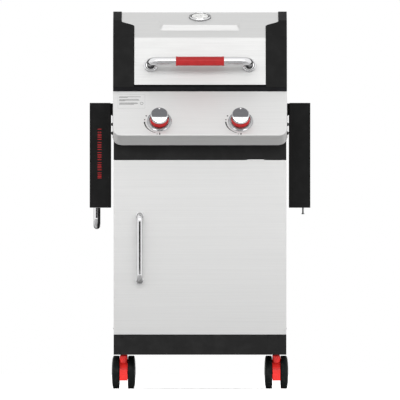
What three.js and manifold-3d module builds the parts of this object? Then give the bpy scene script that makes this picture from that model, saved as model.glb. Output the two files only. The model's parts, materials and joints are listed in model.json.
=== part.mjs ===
// Two-burner gas barbecue grill on a wheeled cabinet: hinged lid, door and folding side shelves,
// push-and-turn burner knobs, a sliding grease tray and four swivelling twin-wheel casters.
// Millimetres, +Z up, the front faces -Y. It stands on the floor at z = 0, lid, door and shelves closed.
import * as THREE from "three";
import { mergeVertices } from "three/addons/utils/BufferGeometryUtils.js";
import Module from "manifold-3d";

const wasm = await Module();
wasm.setup();

// ---------- driving dimensions ----------
const BODY_WIDTH = 530; // cabinet, base and front rail, outside
const CABINET_DEPTH = 410; // side panels, front edge to rear edge
const SHEET = 2; // folded steel sheet
const GAP = 0.4; // between pieces that touch
const RUNNING_GAP = 0.3; // round a pin, on the radius

const WHEEL_DIAMETER = 100;
const WHEEL_WIDTH = 23;
const WHEEL_SPACE = 26; // between the two wheels of a caster
const WHEEL_CLEARANCE = 5; // wheel top to the underside of the base
const WHEEL_SIDES = 24;
const CASTER_INSET_X = 30; // swivel stem from the cabinet's side
const CASTER_INSET_Y = 55; // swivel stem from the side panels' front and rear edges
const CASTER_TRAIL = 25;
const CASTER_WEB_GAP = 1.2; // housing to each wheel
const BRAKE_GAP = 1; // brake pedal to each wheel
const AXLE_RADIUS = 5;
const STEM_RADIUS = 5.5;
const STEM_LENGTH = 32; // above the underside of the base

const BASE_HEIGHT = 60;
const DOOR_HEIGHT = 536;
const DOOR_THICKNESS = 19;
const DOOR_GAP = 1.5; // above and below the door
const DOOR_PIN_INSET = 9; // hinge axis from the door's edge
const DOOR_PIN_DEPTH = 10; // hinge axis behind the door's face
const DOOR_PIN_RADIUS = 4;
const RAIL_UNDER_GAS = 4.5; // black cross rail over the door, to the gas manifold above it
const HEARTH_HEIGHT = 210; // underside of the rail to underside of the firebox rim
const RIM_HEIGHT = 13;
const RIM_LIP = 7; // firebox wall above its rim, inside the lid
const RIM_REACH = 2; // firebox rim and lid beyond the cabinet, each side

const LID_LIFT = 4; // rim to the lid's end caps
const LID_FRONT_HEIGHT = 144; // front facet
const LID_FRONT_LEAN = 32;
const LID_SHOULDER_HEIGHT = 51; // 45 degree facet
const LID_BROW_HEIGHT = 27.3; // shallow facet that carries the thermometer
const LID_BROW_DEPTH = 75;
const CAP_PROUD = 2.7; // cast end caps stand out from the skin
const CAP_SIDE = 5; // their side wall
const CAP_FACE_WIDTH = 65.5; // their band on the lid's front
const CAP_BAND_WIDTH = 26.5; // their band on the lid's top and rear
const CAP_STEP = 15; // height of the slope between the two widths
const EAR_RADIUS = 9; // of an end cap round its hinge pin
const HINGE_PIN_RADIUS = 4;
const HINGE_BEHIND = 12; // lid hinge axis behind the firebox rim

const PANEL_TILT = 38; // degrees, control panel from upright
const PANEL_LENGTH = 172; // down its slope
const PANEL_SKIRT = 48;
const PANEL_CORNER = 32;
const KNOB_INSET = 140.5; // knob centre from the cabinet's side
const KNOB_DROP = 117; // knob centre from the panel's top edge, down its slope
const KNOB_RADIUS = 27;
const KNOB_HEIGHT = 37.5;
const BEZEL_CLEARANCE = 4; // round the knob, on the radius
const BEZEL_WIDTH = 7.5;
const VALVE_BACK = 38; // valve centre behind the panel's face
const VALVE_RADIUS = 13;
const MANIFOLD_RADIUS = 9;
const BURNER_RADIUS = 12.5;

const SHELF_LENGTH = 322; // how far a shelf reaches out when it is up
const SHELF_THICKNESS = 64.4;
const SHELF_DEPTH = 360; // front to rear
const SHELF_TRIM = 20; // moulded front and rear trims
const SHELF_GAP = 9.3; // folded shelf to the cabinet's side
const SHELF_PIVOT = 11; // hinge axis from the shelf's end and from its underside
const SHELF_DROP = 36; // folded shelf's top end under the firebox rim
const SHELF_PIN_RADIUS = 4;

const HANDLE_RADIUS = 12.3; // lid handle tube
const HANDLE_INSET = 113.5; // each foot from the cabinet's side
const HANDLE_REACH = 60; // tube centre from the lid's front
const HANDLE_BEND = 30;
const HANDLE_FOOT_RADIUS = 20.8;
const GRIP_LENGTH = 148;
const GRIP_WALL = 1.9;
const DOOR_HANDLE_RADIUS = 8.5;
const DOOR_HANDLE_SPAN = 198;
const DOOR_HANDLE_REACH = 40;
const DOOR_HANDLE_BEND = 26;
const DOOR_HANDLE_FOOT_RADIUS = 11.7;
const DOOR_HANDLE_INSET = 80; // handle from the door's free edge
const TOWEL_BAR_RADIUS = 10;
const TOWEL_BAR_SPAN = 230;
const TOWEL_BAR_REACH = 56;
const TOWEL_BAR_BEND = 24;
const THERMOMETER_RADIUS = 33.4;
const THERMOMETER_SETBACK = 26; // behind the fold of the brow
const PLATEAU_RISE = 1.8; // pressed out of the brow under it

// ---------- levels and planes worked out from them ----------
const HALF = BODY_WIDTH / 2;
const FRONT = -CABINET_DEPTH / 2;
const REAR = CABINET_DEPTH / 2;
const WHEEL_RADIUS = WHEEL_DIAMETER / 2;
const HANDLE_SPAN = BODY_WIDTH - 2 * HANDLE_INSET; // between the lid handle's two feet
const AXLE_HEIGHT = WHEEL_RADIUS * Math.cos(Math.PI / WHEEL_SIDES); // a flat of the tread lies on the floor
const BASE_BOTTOM = WHEEL_DIAMETER + WHEEL_CLEARANCE;
const BASE_TOP = BASE_BOTTOM + BASE_HEIGHT;
const DOOR_BOTTOM = BASE_TOP + DOOR_GAP;
const DOOR_TOP = DOOR_BOTTOM + DOOR_HEIGHT;
const RAIL_BOTTOM = DOOR_TOP + DOOR_GAP;
const RIM_BOTTOM = RAIL_BOTTOM + HEARTH_HEIGHT;
const RIM_TOP = RIM_BOTTOM + RIM_HEIGHT;
const PIN_TO_BACK = DOOR_THICKNESS - DOOR_PIN_DEPTH;
const DOOR_SWING = Math.hypot(DOOR_PIN_INSET, PIN_TO_BACK) - PIN_TO_BACK; // its rear corner needs this
const DOOR_BACK = FRONT - DOOR_SWING - 1;
const DOOR_FACE = DOOR_BACK - DOOR_THICKNESS;
const DOOR_PIN = [HALF - DOOR_PIN_INSET, DOOR_FACE + DOOR_PIN_DEPTH];

const RIM_HALF = HALF + RIM_REACH;
const RIM_REAR = REAR - 15;
const LID_BOTTOM = RIM_TOP + LID_LIFT;
const LID_PIVOT = [RIM_REAR + HINGE_BEHIND, LID_BOTTOM + 2]; // y, z

const tilt = THREE.MathUtils.degToRad(PANEL_TILT);
const KNOB_Y = FRONT - KNOB_DROP * Math.sin(tilt);
const KNOB_Z = RIM_BOTTOM - 1 - KNOB_DROP * Math.cos(tilt);
const KNOB_SPACING = BODY_WIDTH - 2 * KNOB_INSET;
const BEZEL_BORE = KNOB_RADIUS + BEZEL_CLEARANCE;
const VALVE_Y = KNOB_Y + VALVE_BACK * Math.cos(tilt);
const MANIFOLD_BACK = VALVE_BACK + VALVE_RADIUS + MANIFOLD_RADIUS;
const RAIL_TOP = KNOB_Z - MANIFOLD_BACK * Math.sin(tilt) - MANIFOLD_RADIUS - RAIL_UNDER_GAS;
const BURNER_Z = KNOB_Z - VALVE_BACK * Math.sin(tilt);
const FIREBOX_BOTTOM = BURNER_Z - BURNER_RADIUS - 20;
const TRAY_HEIGHT = 24;
const TRAY_BOTTOM = FIREBOX_BOTTOM - 5 - TRAY_HEIGHT;
const TRAY_HALF = HALF - 30;

const SHELF_INNER = HALF + SHELF_GAP;
const SHELF_OUTER = SHELF_INNER + SHELF_THICKNESS;
const SHELF_TOP = RIM_BOTTOM - SHELF_DROP;
const SHELF_END = SHELF_TOP - SHELF_LENGTH;
const SHELF_FRONT = FRONT + 15;
const SHELF_AXIS_X = SHELF_INNER + SHELF_PIVOT;
const SHELF_AXIS_Z = SHELF_TOP - SHELF_PIVOT;

// ---------- materials ----------
const metal = (color, roughness) => new THREE.MeshStandardMaterial({ color, roughness, metalness: 1 });
const coat = (color, roughness) => new THREE.MeshStandardMaterial({ color, roughness, metalness: 0 });
const steel = metal(0xdcdcda, 0.35);
const chrome = metal(0xe6e6e8, 0.08);
const brass = metal(0xb5924c, 0.4);
const zinc = metal(0xb8babb, 0.45);
const blackSteel = coat(0x242424, 0.5);
const castBlack = coat(0x262626, 0.55);
const enamel = coat(0x1b1b1c, 0.3);
const castIron = coat(0x202022, 0.75);
const blackPlastic = coat(0x202020, 0.5);
const tyreBlack = coat(0x242626, 0.7);
const red = coat(0xc02822, 0.4);
const dialWhite = coat(0xf2f2ee, 0.3);

// ---------- solids ----------
// A closed three.js geometry as a solid with its faces pointing out.
function solid(geometry) {
  const bare = new THREE.BufferGeometry().setAttribute("position", geometry.getAttribute("position"));
  if (geometry.index) bare.setIndex(geometry.index);
  const merged = mergeVertices(bare, 1e-3);
  const vertProperties = merged.attributes.position.array;
  const corners = new Uint32Array(merged.index.array);
  const triVerts = corners.filter((_, i) => {
    const [a, b, c] = corners.subarray(i - (i % 3), i - (i % 3) + 3);
    return a !== b && b !== c && a !== c;
  });
  const made = new wasm.Manifold(new wasm.Mesh({ numProp: 3, vertProperties, triVerts }));
  if (made.volume() >= 0) return made;
  for (let i = 0; i < triVerts.length; i += 3) {
    [triVerts[i + 1], triVerts[i + 2]] = [triVerts[i + 2], triVerts[i + 1]];
  }
  return new wasm.Manifold(new wasm.Mesh({ numProp: 3, vertProperties, triVerts }));
}

const join = (first, ...others) => others.reduce((all, one) => all.add(one), first);
const cut = (body, ...tools) => tools.reduce((left, tool) => left.subtract(tool), body);

// A solid as a named mesh.
function piece(name, body, material) {
  const { numProp, vertProperties, triVerts } = body.getMesh();
  const position = new Float32Array((vertProperties.length / numProp) * 3);
  for (let i = 0; i < position.length / 3; i += 1) {
    position.set(vertProperties.subarray(i * numProp, i * numProp + 3), i * 3);
  }
  const geometry = new THREE.BufferGeometry()
    .setAttribute("position", new THREE.BufferAttribute(position, 3))
    .setIndex(new THREE.BufferAttribute(new Uint32Array(triVerts), 1))
    .toNonIndexed();
  geometry.computeVertexNormals();
  const mesh = new THREE.Mesh(geometry, material);
  mesh.name = name;
  return mesh;
}

const span = (a, b) => [Math.min(a, b), Math.max(a, b)];

// A box between two corners, given in any order.
function box([xa, xb], [ya, yb], [za, zb]) {
  const geometry = new THREE.BoxGeometry(Math.abs(xb - xa), Math.abs(yb - ya), Math.abs(zb - za));
  return solid(geometry.translate((xa + xb) / 2, (ya + yb) / 2, (za + zb) / 2));
}

const outline = (points) => new THREE.Shape(points.map(([a, b]) => new THREE.Vector2(a, b)));

function extruded(shape, depth, curveSegments = 6) {
  return new THREE.ExtrudeGeometry(shape, { depth, bevelEnabled: false, curveSegments });
}

// A (y, z) outline run along X.
function prismX(points, [xa, xb]) {
  const basis = new THREE.Matrix4().makeBasis(
    new THREE.Vector3(0, 1, 0),
    new THREE.Vector3(0, 0, 1),
    new THREE.Vector3(1, 0, 0),
  );
  const [low, high] = span(xa, xb);
  return solid(extruded(outline(points), high - low).applyMatrix4(basis).translate(low, 0, 0));
}

// An (x, z) outline run along Y.
function prismY(points, [ya, yb]) {
  const [low, high] = span(ya, yb);
  return solid(extruded(outline(points), high - low).rotateX(Math.PI / 2).translate(0, high, 0));
}

// An (x, y) outline run along Z.
function prismZ(points, [za, zb]) {
  const [low, high] = span(za, zb);
  return solid(extruded(outline(points), high - low).translate(0, 0, low));
}

// A (radius, height) profile turned about Z.
function revolved(profile, segments = 24) {
  const points = profile.map(([r, h]) => new THREE.Vector2(r, h));
  return solid(new THREE.LatheGeometry(points, segments).rotateX(Math.PI / 2));
}

const rod = (radius, low, high, segments = 16) =>
  revolved([[0, low], [radius, low], [radius, high], [0, high]], segments);

const rodX = (radius, [xa, xb], y, z, segments = 16) =>
  rod(radius, ...span(xa, xb), segments).rotate([0, 90, 0]).translate([0, y, z]);

const rodY = (radius, [ya, yb], x, z, segments = 16) =>
  rod(radius, ...span(-ya, -yb), segments).rotate([90, 0, 0]).translate([x, 0, z]);

const rodZ = (radius, [za, zb], x, y, segments = 16) =>
  rod(radius, ...span(za, zb), segments).translate([x, y, 0]);

// A round bar bent into a U: two feet a span apart, the bar a reach away from them. Its feet stand
// on the plane z = 0, side by side along X, and it rises along +Z.
function bentBar(radius, feet, reach, bend, steps, sides = 12) {
  const half = feet / 2;
  const path = new THREE.CurvePath();
  const at = (x, z) => new THREE.Vector3(x, 0, z);
  const straight = (a, b) => path.add(new THREE.LineCurve3(a, b));
  const corner = (a, b, c) => path.add(new THREE.QuadraticBezierCurve3(a, b, c));
  straight(at(-half, 0), at(-half, reach - bend));
  corner(at(-half, reach - bend), at(-half, reach), at(-half + bend, reach));
  straight(at(-half + bend, reach), at(half - bend, reach));
  corner(at(half - bend, reach), at(half, reach), at(half, reach - bend));
  straight(at(half, reach - bend), at(half, 0));
  const section = new THREE.Shape().absarc(0, 0, radius, 0, 2 * Math.PI);
  const options = { steps, extrudePath: path, curveSegments: sides / 2, bevelEnabled: false };
  return solid(new THREE.ExtrudeGeometry(section, options));
}

// A polyline moved sideways by a distance, to its left as it runs, with mitred corners.
function offsetLine(points, distance) {
  const along = (a, b) => new THREE.Vector2(b[0] - a[0], b[1] - a[1]).normalize();
  return points.map((point, i) => {
    const before = along(points[Math.max(i - 1, 0)], points[Math.max(i, 1)]);
    const after = along(points[Math.min(i, points.length - 2)], points[Math.min(i + 1, points.length - 1)]);
    const normal = new THREE.Vector2(-before.y - after.y, before.x + after.x).normalize();
    const reach = distance / (normal.x * -before.y + normal.y * before.x);
    return [point[0] + normal.x * reach, point[1] + normal.y * reach];
  });
}

// A rectangular frustum between two levels, each given as [[x, x], [y, y], z].
function frustum(lower, upper) {
  const ring = ([[xa, xb], [ya, yb], z]) => [[xa, ya, z], [xb, ya, z], [xb, yb, z], [xa, yb, z]];
  const position = [...ring(lower), ...ring(upper)].flat();
  const sides = [0, 1, 2, 3].flatMap((i) => {
    const next = (i + 1) % 4;
    return [i, next, next + 4, i, next + 4, i + 4];
  });
  return solid(
    new THREE.BufferGeometry()
      .setAttribute("position", new THREE.Float32BufferAttribute(position, 3))
      .setIndex([0, 2, 1, 0, 3, 2, 4, 5, 6, 4, 6, 7, ...sides]),
  );
}

// ---------- cabinet ----------
const casterPlaces = {
  front_left: [-1, -1],
  front_right: [1, -1],
  rear_left: [-1, 1],
  rear_right: [1, 1],
};
const casterX = HALF - CASTER_INSET_X;
const casterY = REAR - CASTER_INSET_Y;

// Pan with a socket for each caster's stem and a front lip that holds the door's lower pin.
function basePan() {
  const SOCKET_RADIUS = 11;
  const LIP = 18;
  const inside = [-HALF + SHEET, HALF - SHEET];
  let pan = cut(
    box([-HALF, HALF], [DOOR_FACE, REAR], [BASE_BOTTOM, BASE_TOP]),
    box(inside, [DOOR_FACE + SHEET, REAR - SHEET], [BASE_BOTTOM + SHEET, BASE_TOP + 1]),
  );
  const lip = box([-HALF + 1, HALF - 1], [DOOR_FACE + 1, DOOR_FACE + LIP], [BASE_TOP - SHEET, BASE_TOP]);
  const pinHole = rodZ(DOOR_PIN_RADIUS + RUNNING_GAP, [BASE_TOP - SHEET - 1, BASE_TOP + 1], ...DOOR_PIN);
  const socket = [BASE_BOTTOM + 1, BASE_BOTTOM + STEM_LENGTH];
  const bore = [BASE_BOTTOM - 1, BASE_BOTTOM + STEM_LENGTH + 1];
  pan = cut(join(pan, lip), pinHole);
  for (const [sx, sy] of Object.values(casterPlaces)) {
    const at = [sx * casterX, sy * casterY];
    pan = join(pan, rodZ(SOCKET_RADIUS, socket, ...at));
    pan = cut(pan, rodZ(STEM_RADIUS + RUNNING_GAP, bore, ...at));
  }
  return pan;
}

// Folded side panel from the base to the firebox rim, with a ledge that carries the grease tray.
function sidePanel(side) {
  const FLANGE = 22;
  const LEDGE_INSET = 20; // from the panel's front and rear edges
  const LEDGE_OVERLAP = 8; // under the tray
  const height = [BASE_TOP + GAP, RIM_BOTTOM - GAP];
  const ledge = [TRAY_BOTTOM - GAP - SHEET, TRAY_BOTTOM - GAP];
  const channel = [
    [HALF, FRONT],
    [HALF, REAR],
    [HALF - FLANGE, REAR],
    [HALF - FLANGE, REAR - SHEET],
    [HALF - SHEET, REAR - SHEET],
    [HALF - SHEET, FRONT + SHEET],
    [HALF - FLANGE, FRONT + SHEET],
    [HALF - FLANGE, FRONT],
  ];
  return join(
    prismZ(channel.map(([x, y]) => [side * x, y]), height),
    box(
      [side * (HALF - 1), side * (TRAY_HALF - LEDGE_OVERLAP)],
      [FRONT + LEDGE_INSET, REAR - LEDGE_INSET],
      ledge,
    ),
  );
}

// Back of the cabinet, with vent slots low down and the hose's way out.
function rearPanel() {
  const VENTS = 5;
  const VENT_HEIGHT = 10;
  const VENT_PITCH = 26;
  const VENT_HALF = 120;
  const VENT_START = 60; // lowest vent over the base
  const HOSE_WAY = [146, 198];
  const HOSE_WAY_DEPTH = 60;
  const edge = HALF - SHEET - GAP;
  const top = TRAY_BOTTOM - 8;
  const y = [REAR - 2 * SHEET - GAP, REAR - SHEET - GAP];
  const through = [y[0] - 1, y[1] + 1];
  const vents = Array.from({ length: VENTS }, (_, i) => {
    const z = BASE_TOP + VENT_START + VENT_PITCH * i;
    return box([-VENT_HALF, VENT_HALF], through, [z, z + VENT_HEIGHT]);
  });
  const hoseWay = box(HOSE_WAY, through, [top - HOSE_WAY_DEPTH, top + 1]);
  return cut(box([-edge, edge], y, [BASE_TOP + GAP, top]), ...vents, hoseWay);
}

// Closed channel across the front over the door. It holds the door's upper pin.
function frontRail() {
  const back = FRONT - GAP;
  const inside = [-HALF + SHEET, HALF - SHEET];
  return cut(
    box([-HALF, HALF], [DOOR_FACE, back], [RAIL_BOTTOM, RAIL_TOP]),
    box(inside, [DOOR_FACE + SHEET, back + 1], [RAIL_BOTTOM + SHEET, RAIL_TOP - SHEET]),
    rodZ(DOOR_PIN_RADIUS + RUNNING_GAP, [RAIL_BOTTOM - 1, RAIL_BOTTOM + SHEET + 1], ...DOOR_PIN),
  );
}

// Shouldered pin between the door and the base or the rail: its shoulder lies in the gap.
function doorPin(low, shoulder, high) {
  const half = DOOR_GAP / 2 - GAP;
  return join(
    rodZ(DOOR_PIN_RADIUS, [low, high], ...DOOR_PIN),
    rodZ(DOOR_PIN_RADIUS + 2, [shoulder - half, shoulder + half], ...DOOR_PIN),
  );
}

// ---------- firebox and what is in it ----------
const TUB_TOP = [HALF - 13, FRONT + 7, RIM_REAR - 7]; // half width, front, rear, at the rim
const TUB_BOTTOM = [HALF - 65, FRONT + 17, RIM_REAR - 40]; // and at the bottom
const TUB_WALL = 3;
const JET_LENGTH = 40; // from a valve's centre into its burner's mouth

function tubLevel([half, front, rear], inset, z) {
  return [[-half + inset, half - inset], [front + inset, rear - inset], z];
}

function tubAt(z) {
  const share = (z - FIREBOX_BOTTOM) / (RIM_TOP + RIM_LIP - FIREBOX_BOTTOM);
  return TUB_BOTTOM.map((low, i) => low + (TUB_TOP[i] - low) * share);
}

const GRATE_TOP = RIM_BOTTOM - 4;
const GRATE_THICKNESS = 10;
const GRATE_GAP = 1.5; // to the firebox's walls
const TAMER_Z = BURNER_Z + BURNER_RADIUS + 18;

// Tapered tub with an outer rim, a drain slot, a way in for each burner and a ledge for the grates.
function firebox() {
  const LEDGE_WIDTH = 12;
  const DRAIN_HALF = 132.5;
  const DRAIN_DEPTH = [-45, 25];
  const lipTop = RIM_TOP + RIM_LIP;
  const outer = frustum(tubLevel(TUB_BOTTOM, 0, FIREBOX_BOTTOM), tubLevel(TUB_TOP, 0, lipTop));
  const rim = box([-RIM_HALF, RIM_HALF], [FRONT, RIM_REAR], [RIM_BOTTOM, RIM_TOP]);
  const floorLevel = FIREBOX_BOTTOM + TUB_WALL;
  const hollow = frustum(
    tubLevel(tubAt(floorLevel), TUB_WALL, floorLevel),
    tubLevel(TUB_TOP, TUB_WALL, lipTop + 1),
  );
  const drain = box([-DRAIN_HALF, DRAIN_HALF], DRAIN_DEPTH, [FIREBOX_BOTTOM - 1, floorLevel + 1]);
  const ways = [-1, 1].map((side) =>
    rodY(BURNER_RADIUS + 2, [FRONT, TUB_BOTTOM[1] + 30], (side * KNOB_SPACING) / 2, BURNER_Z),
  );
  const ledgeZ = GRATE_TOP - GRATE_THICKNESS - GAP;
  const [ledgeX, ledgeY] = tubLevel(tubAt(ledgeZ), 1, ledgeZ);
  const within = (edge) => edge - Math.sign(edge) * LEDGE_WIDTH;
  const ledge = cut(
    box(ledgeX, ledgeY, [ledgeZ - 3, ledgeZ]),
    box(ledgeX.map(within), ledgeY.map(within), [ledgeZ - 4, ledgeZ + 1]),
  );
  return join(cut(join(outer, rim), hollow, drain, ...ways), ledge);
}

// One of two cast grates side by side: front-to-rear bars, a middle cross bar and a frame.
function grate(side) {
  const BARS = 13;
  const BAR_SHARE = 0.45; // of the pitch
  const FRAME = 9;
  const [half, front, rear] = tubAt(GRATE_TOP - GRATE_THICKNESS);
  const xa = 1;
  const xb = half - TUB_WALL - GRATE_GAP;
  const ya = front + TUB_WALL + GRATE_GAP;
  const yb = rear - TUB_WALL - GRATE_GAP;
  const pitch = (xb - xa - 2 * FRAME) / (BARS - 1 + BAR_SHARE);
  const middle = (ya + yb) / 2;
  const z = [GRATE_TOP - GRATE_THICKNESS, GRATE_TOP];
  const down = [z[0] - 1, z[1] + 1];
  const slots = Array.from({ length: BARS - 1 }, (_, i) => {
    const x = xa + FRAME + pitch * (i + BAR_SHARE);
    const across = [x, x + pitch * (1 - BAR_SHARE)];
    return [
      box(across, [ya + FRAME, middle - FRAME / 2], down),
      box(across, [middle + FRAME / 2, yb - FRAME], down),
    ];
  }).flat();
  const made = cut(box([xa, xb], [ya, yb], z), ...slots);
  return side > 0 ? made : made.mirror([1, 0, 0]);
}

// Folded tent over a burner, standing on the firebox's end walls by its turned-down feet.
function flameTamer(side) {
  const x = (side * KNOB_SPACING) / 2;
  const HALF_WIDTH = 52;
  const RIDGE_HALF = 12;
  const RISE = 30;
  const WALL = 1.5;
  const CLEAR = 3; // to the firebox's end walls
  const z = TAMER_Z;
  const [, front, rear] = tubAt(z);
  const skin = [
    [x - HALF_WIDTH, z],
    [x - RIDGE_HALF, z + RISE],
    [x + RIDGE_HALF, z + RISE],
    [x + HALF_WIDTH, z],
  ];
  const under = offsetLine(skin, -WALL).reverse();
  return prismY([...skin, ...under], [front + TUB_WALL + CLEAR, rear - TUB_WALL - CLEAR]);
}

// Tube burner with an open venturi mouth in front of the firebox and a closed rear end.
function burner(side) {
  const WALL = 1.2;
  const mouth = VALVE_Y + JET_LENGTH - 7;
  const end = tubAt(BURNER_Z)[2] - 25;
  const tube = cut(
    rodY(BURNER_RADIUS, [mouth, end], 0, 0, 20),
    rodY(BURNER_RADIUS - WALL, [mouth - 1, end - 2], 0, 0, 20),
  );
  return tube.translate([(side * KNOB_SPACING) / 2, 0, BURNER_Z]);
}

// Wire shelf over the rear of the grates, on two legs.
function warmingRack() {
  const WIRE = 5;
  const SLOTS = 16;
  const DEPTH = 106;
  const OVER_RIM = 58;
  const half = HALF - 42;
  const z = RIM_TOP + OVER_RIM;
  const rear = RIM_REAR - 22;
  const y = [rear - DEPTH, rear];
  const pitch = (2 * half - WIRE) / SLOTS;
  const slots = Array.from({ length: SLOTS }, (_, i) => {
    const x = -half + WIRE + i * pitch;
    return box([x, x + pitch - WIRE], [y[0] + WIRE, y[1] - WIRE], [z - 1, z + WIRE + 1]);
  });
  const grid = cut(box([-half, half], y, [z, z + WIRE]), ...slots);
  const legs = [-1, 1].flatMap((side) =>
    y.map((edge, i) => {
      const [near, far] = i ? [edge - WIRE, edge] : [edge, edge + WIRE];
      return box([side * half, side * (half - WIRE)], [near, far], [GRATE_TOP + GAP, z + 1]);
    }),
  );
  return join(grid, ...legs);
}

// Open tray under the drain. It slides out to the rear on the side panels' ledges.
function greaseTray() {
  const WALL = 1.5;
  const PULL_HALF = 60;
  const PULL_DEPTH = 14;
  const y = [FRONT + 25, REAR + 8];
  const z = [TRAY_BOTTOM, TRAY_BOTTOM + TRAY_HEIGHT];
  const inside = TRAY_HALF - WALL;
  const tray = cut(
    box([-TRAY_HALF, TRAY_HALF], y, z),
    box([-inside, inside], [y[0] + WALL, y[1] - WALL], [z[0] + WALL, z[1] + 1]),
  );
  const pull = box([-PULL_HALF, PULL_HALF], [y[1] - 1, y[1] + PULL_DEPTH], [z[1] - WALL, z[1]]);
  return join(tray, pull);
}

// ---------- gas train and control panel, in the panel's own frame ----------
// Its origin is the middle of the panel's top edge, +Y up the slope and +Z out of the face.
const panel = new THREE.Group();
panel.position.set(0, FRONT - GAP, RIM_BOTTOM - 1);
panel.rotation.x = Math.PI / 2 - tilt;
panel.updateMatrixWorld(true);

const RAD = 180 / Math.PI;
// A solid given in the part's frame, as the panel's frame sees it.
const seenFromPanel = (body) =>
  body.translate([0, -panel.position.y, -panel.position.z]).rotate([-panel.rotation.x * RAD, 0, 0]);

// Tray of folded sheet: sloping face, rounded lower corners, skirts square to the face.
function controlPanel() {
  const shapeOf = (inset) => {
    const half = RIM_HALF - inset;
    const bottom = -PANEL_LENGTH + inset;
    const corner = PANEL_CORNER - inset;
    return new THREE.Shape()
      .moveTo(-half, inset * 2)
      .lineTo(-half, bottom + corner)
      .absarc(-half + corner, bottom + corner, corner, Math.PI, 1.5 * Math.PI)
      .lineTo(half - corner, bottom)
      .absarc(half - corner, bottom + corner, corner, 1.5 * Math.PI, 2 * Math.PI)
      .lineTo(half, inset * 2);
  };
  const tray = cut(
    solid(extruded(shapeOf(0), PANEL_SKIRT, 8).translate(0, 0, -PANEL_SKIRT)),
    solid(extruded(shapeOf(SHEET), PANEL_SKIRT, 8).translate(0, 0, -PANEL_SKIRT - SHEET)),
  );
  const REACH = 400;
  const behind = seenFromPanel(box([-REACH, REACH], [FRONT - GAP, REACH], [0, RIM_BOTTOM + REACH]));
  const stemHoles = [-1, 1].map((side) =>
    rodZ(10, [-SHEET - 1, 1], (side * KNOB_SPACING) / 2, -KNOB_DROP),
  );
  return cut(tray, behind, ...stemHoles);
}

const STEM = 4; // valve stem radius
const KNOB_BASE = 5.5; // knob's lower edge over the panel's face, enough for it to be pushed
const SKIRT_TOP = 15.5;
const BEZEL_HEIGHT = 5;

function bezel() {
  const edge = BEZEL_BORE + BEZEL_WIDTH;
  const section = [
    [BEZEL_BORE, GAP],
    [edge, GAP],
    [edge - 1, BEZEL_HEIGHT / 2],
    [BEZEL_BORE + 3, BEZEL_HEIGHT],
    [BEZEL_BORE, BEZEL_HEIGHT],
  ];
  return revolved([...section, section[0]], 24);
}

const STEM_TOP = KNOB_BASE + 13;

function valveStem() {
  return rod(STEM, -VALVE_BACK + 4, STEM_TOP);
}

// Red skirt of a knob. The chrome cap stands on it.
function knobSkirt() {
  const bore = STEM + RUNNING_GAP;
  const FLARE = 1.5; // beyond the cap at the foot, within it at the top
  const section = [
    [bore, KNOB_BASE],
    [KNOB_RADIUS + FLARE, KNOB_BASE],
    [KNOB_RADIUS + FLARE, KNOB_BASE + 4],
    [KNOB_RADIUS - FLARE, SKIRT_TOP],
    [bore, SKIRT_TOP],
  ];
  return revolved([...section, section[0]], 24);
}

// Chrome cap with a domed face and a raised pointer at twelve o'clock.
function knobCap() {
  const low = SKIRT_TOP + GAP;
  const bore = STEM + RUNNING_GAP;
  const seat = STEM_TOP + 1;
  const cap = revolved(
    [
      [0, seat],
      [bore, seat],
      [bore, low],
      [KNOB_RADIUS - 2, low],
      [KNOB_RADIUS, low + 4],
      [KNOB_RADIUS, KNOB_HEIGHT - 7],
      [KNOB_RADIUS - 2.5, KNOB_HEIGHT - 2.5],
      [KNOB_RADIUS - 8, KNOB_HEIGHT - 0.6],
      [0, KNOB_HEIGHT],
    ],
    24,
  );
  const pointer = box([-1.5, 1.5], [KNOB_RADIUS - 5, KNOB_RADIUS + 1.6], [low + 6, KNOB_HEIGHT - 1.2]);
  return join(cap, pointer);
}

// Valve body on the manifold, bored for its stem, with a jet that reaches into the burner's mouth.
function valve() {
  const NECK_RADIUS = 7;
  const JET_RADIUS = 4.5;
  const foot = -VALVE_BACK - VALVE_RADIUS + GAP;
  const section = [
    [0, foot],
    [VALVE_RADIUS, foot],
    [VALVE_RADIUS, -26],
    [NECK_RADIUS, -24],
    [NECK_RADIUS, -18],
    [0, -18],
  ];
  const body = revolved(section, 16);
  const jet = rod(JET_RADIUS, 0, JET_LENGTH, 12)
    .rotate([-90, 0, 0])
    .rotate([-(90 - PANEL_TILT), 0, 0])
    .translate([0, 0, -VALVE_BACK]);
  return cut(join(body, jet), rod(STEM + RUNNING_GAP, -VALVE_BACK - 5, -10));
}

// Gas rail behind the valves. Its right end turns to the rear and takes the hose.
function manifold() {
  const INLET_RADIUS = 7;
  const INLET_LENGTH = 58;
  const NUT_RADIUS = 9.5;
  const z = -MANIFOLD_BACK;
  const left = -KNOB_SPACING / 2 - 25;
  const right = HALF - 33;
  const rail = rodX(MANIFOLD_RADIUS, [left, right], 0, 0, 14).translate([0, -KNOB_DROP, z]);
  const turn = rod(INLET_RADIUS, 0, INLET_LENGTH, 12)
    .add(rod(NUT_RADIUS, INLET_LENGTH - 24, INLET_LENGTH - 14, 6))
    .rotate([-90, 0, 0])
    .rotate([-(90 - PANEL_TILT), 0, 0])
    .translate([right - INLET_RADIUS, -KNOB_DROP, z]);
  return join(rail, turn);
}

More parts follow.
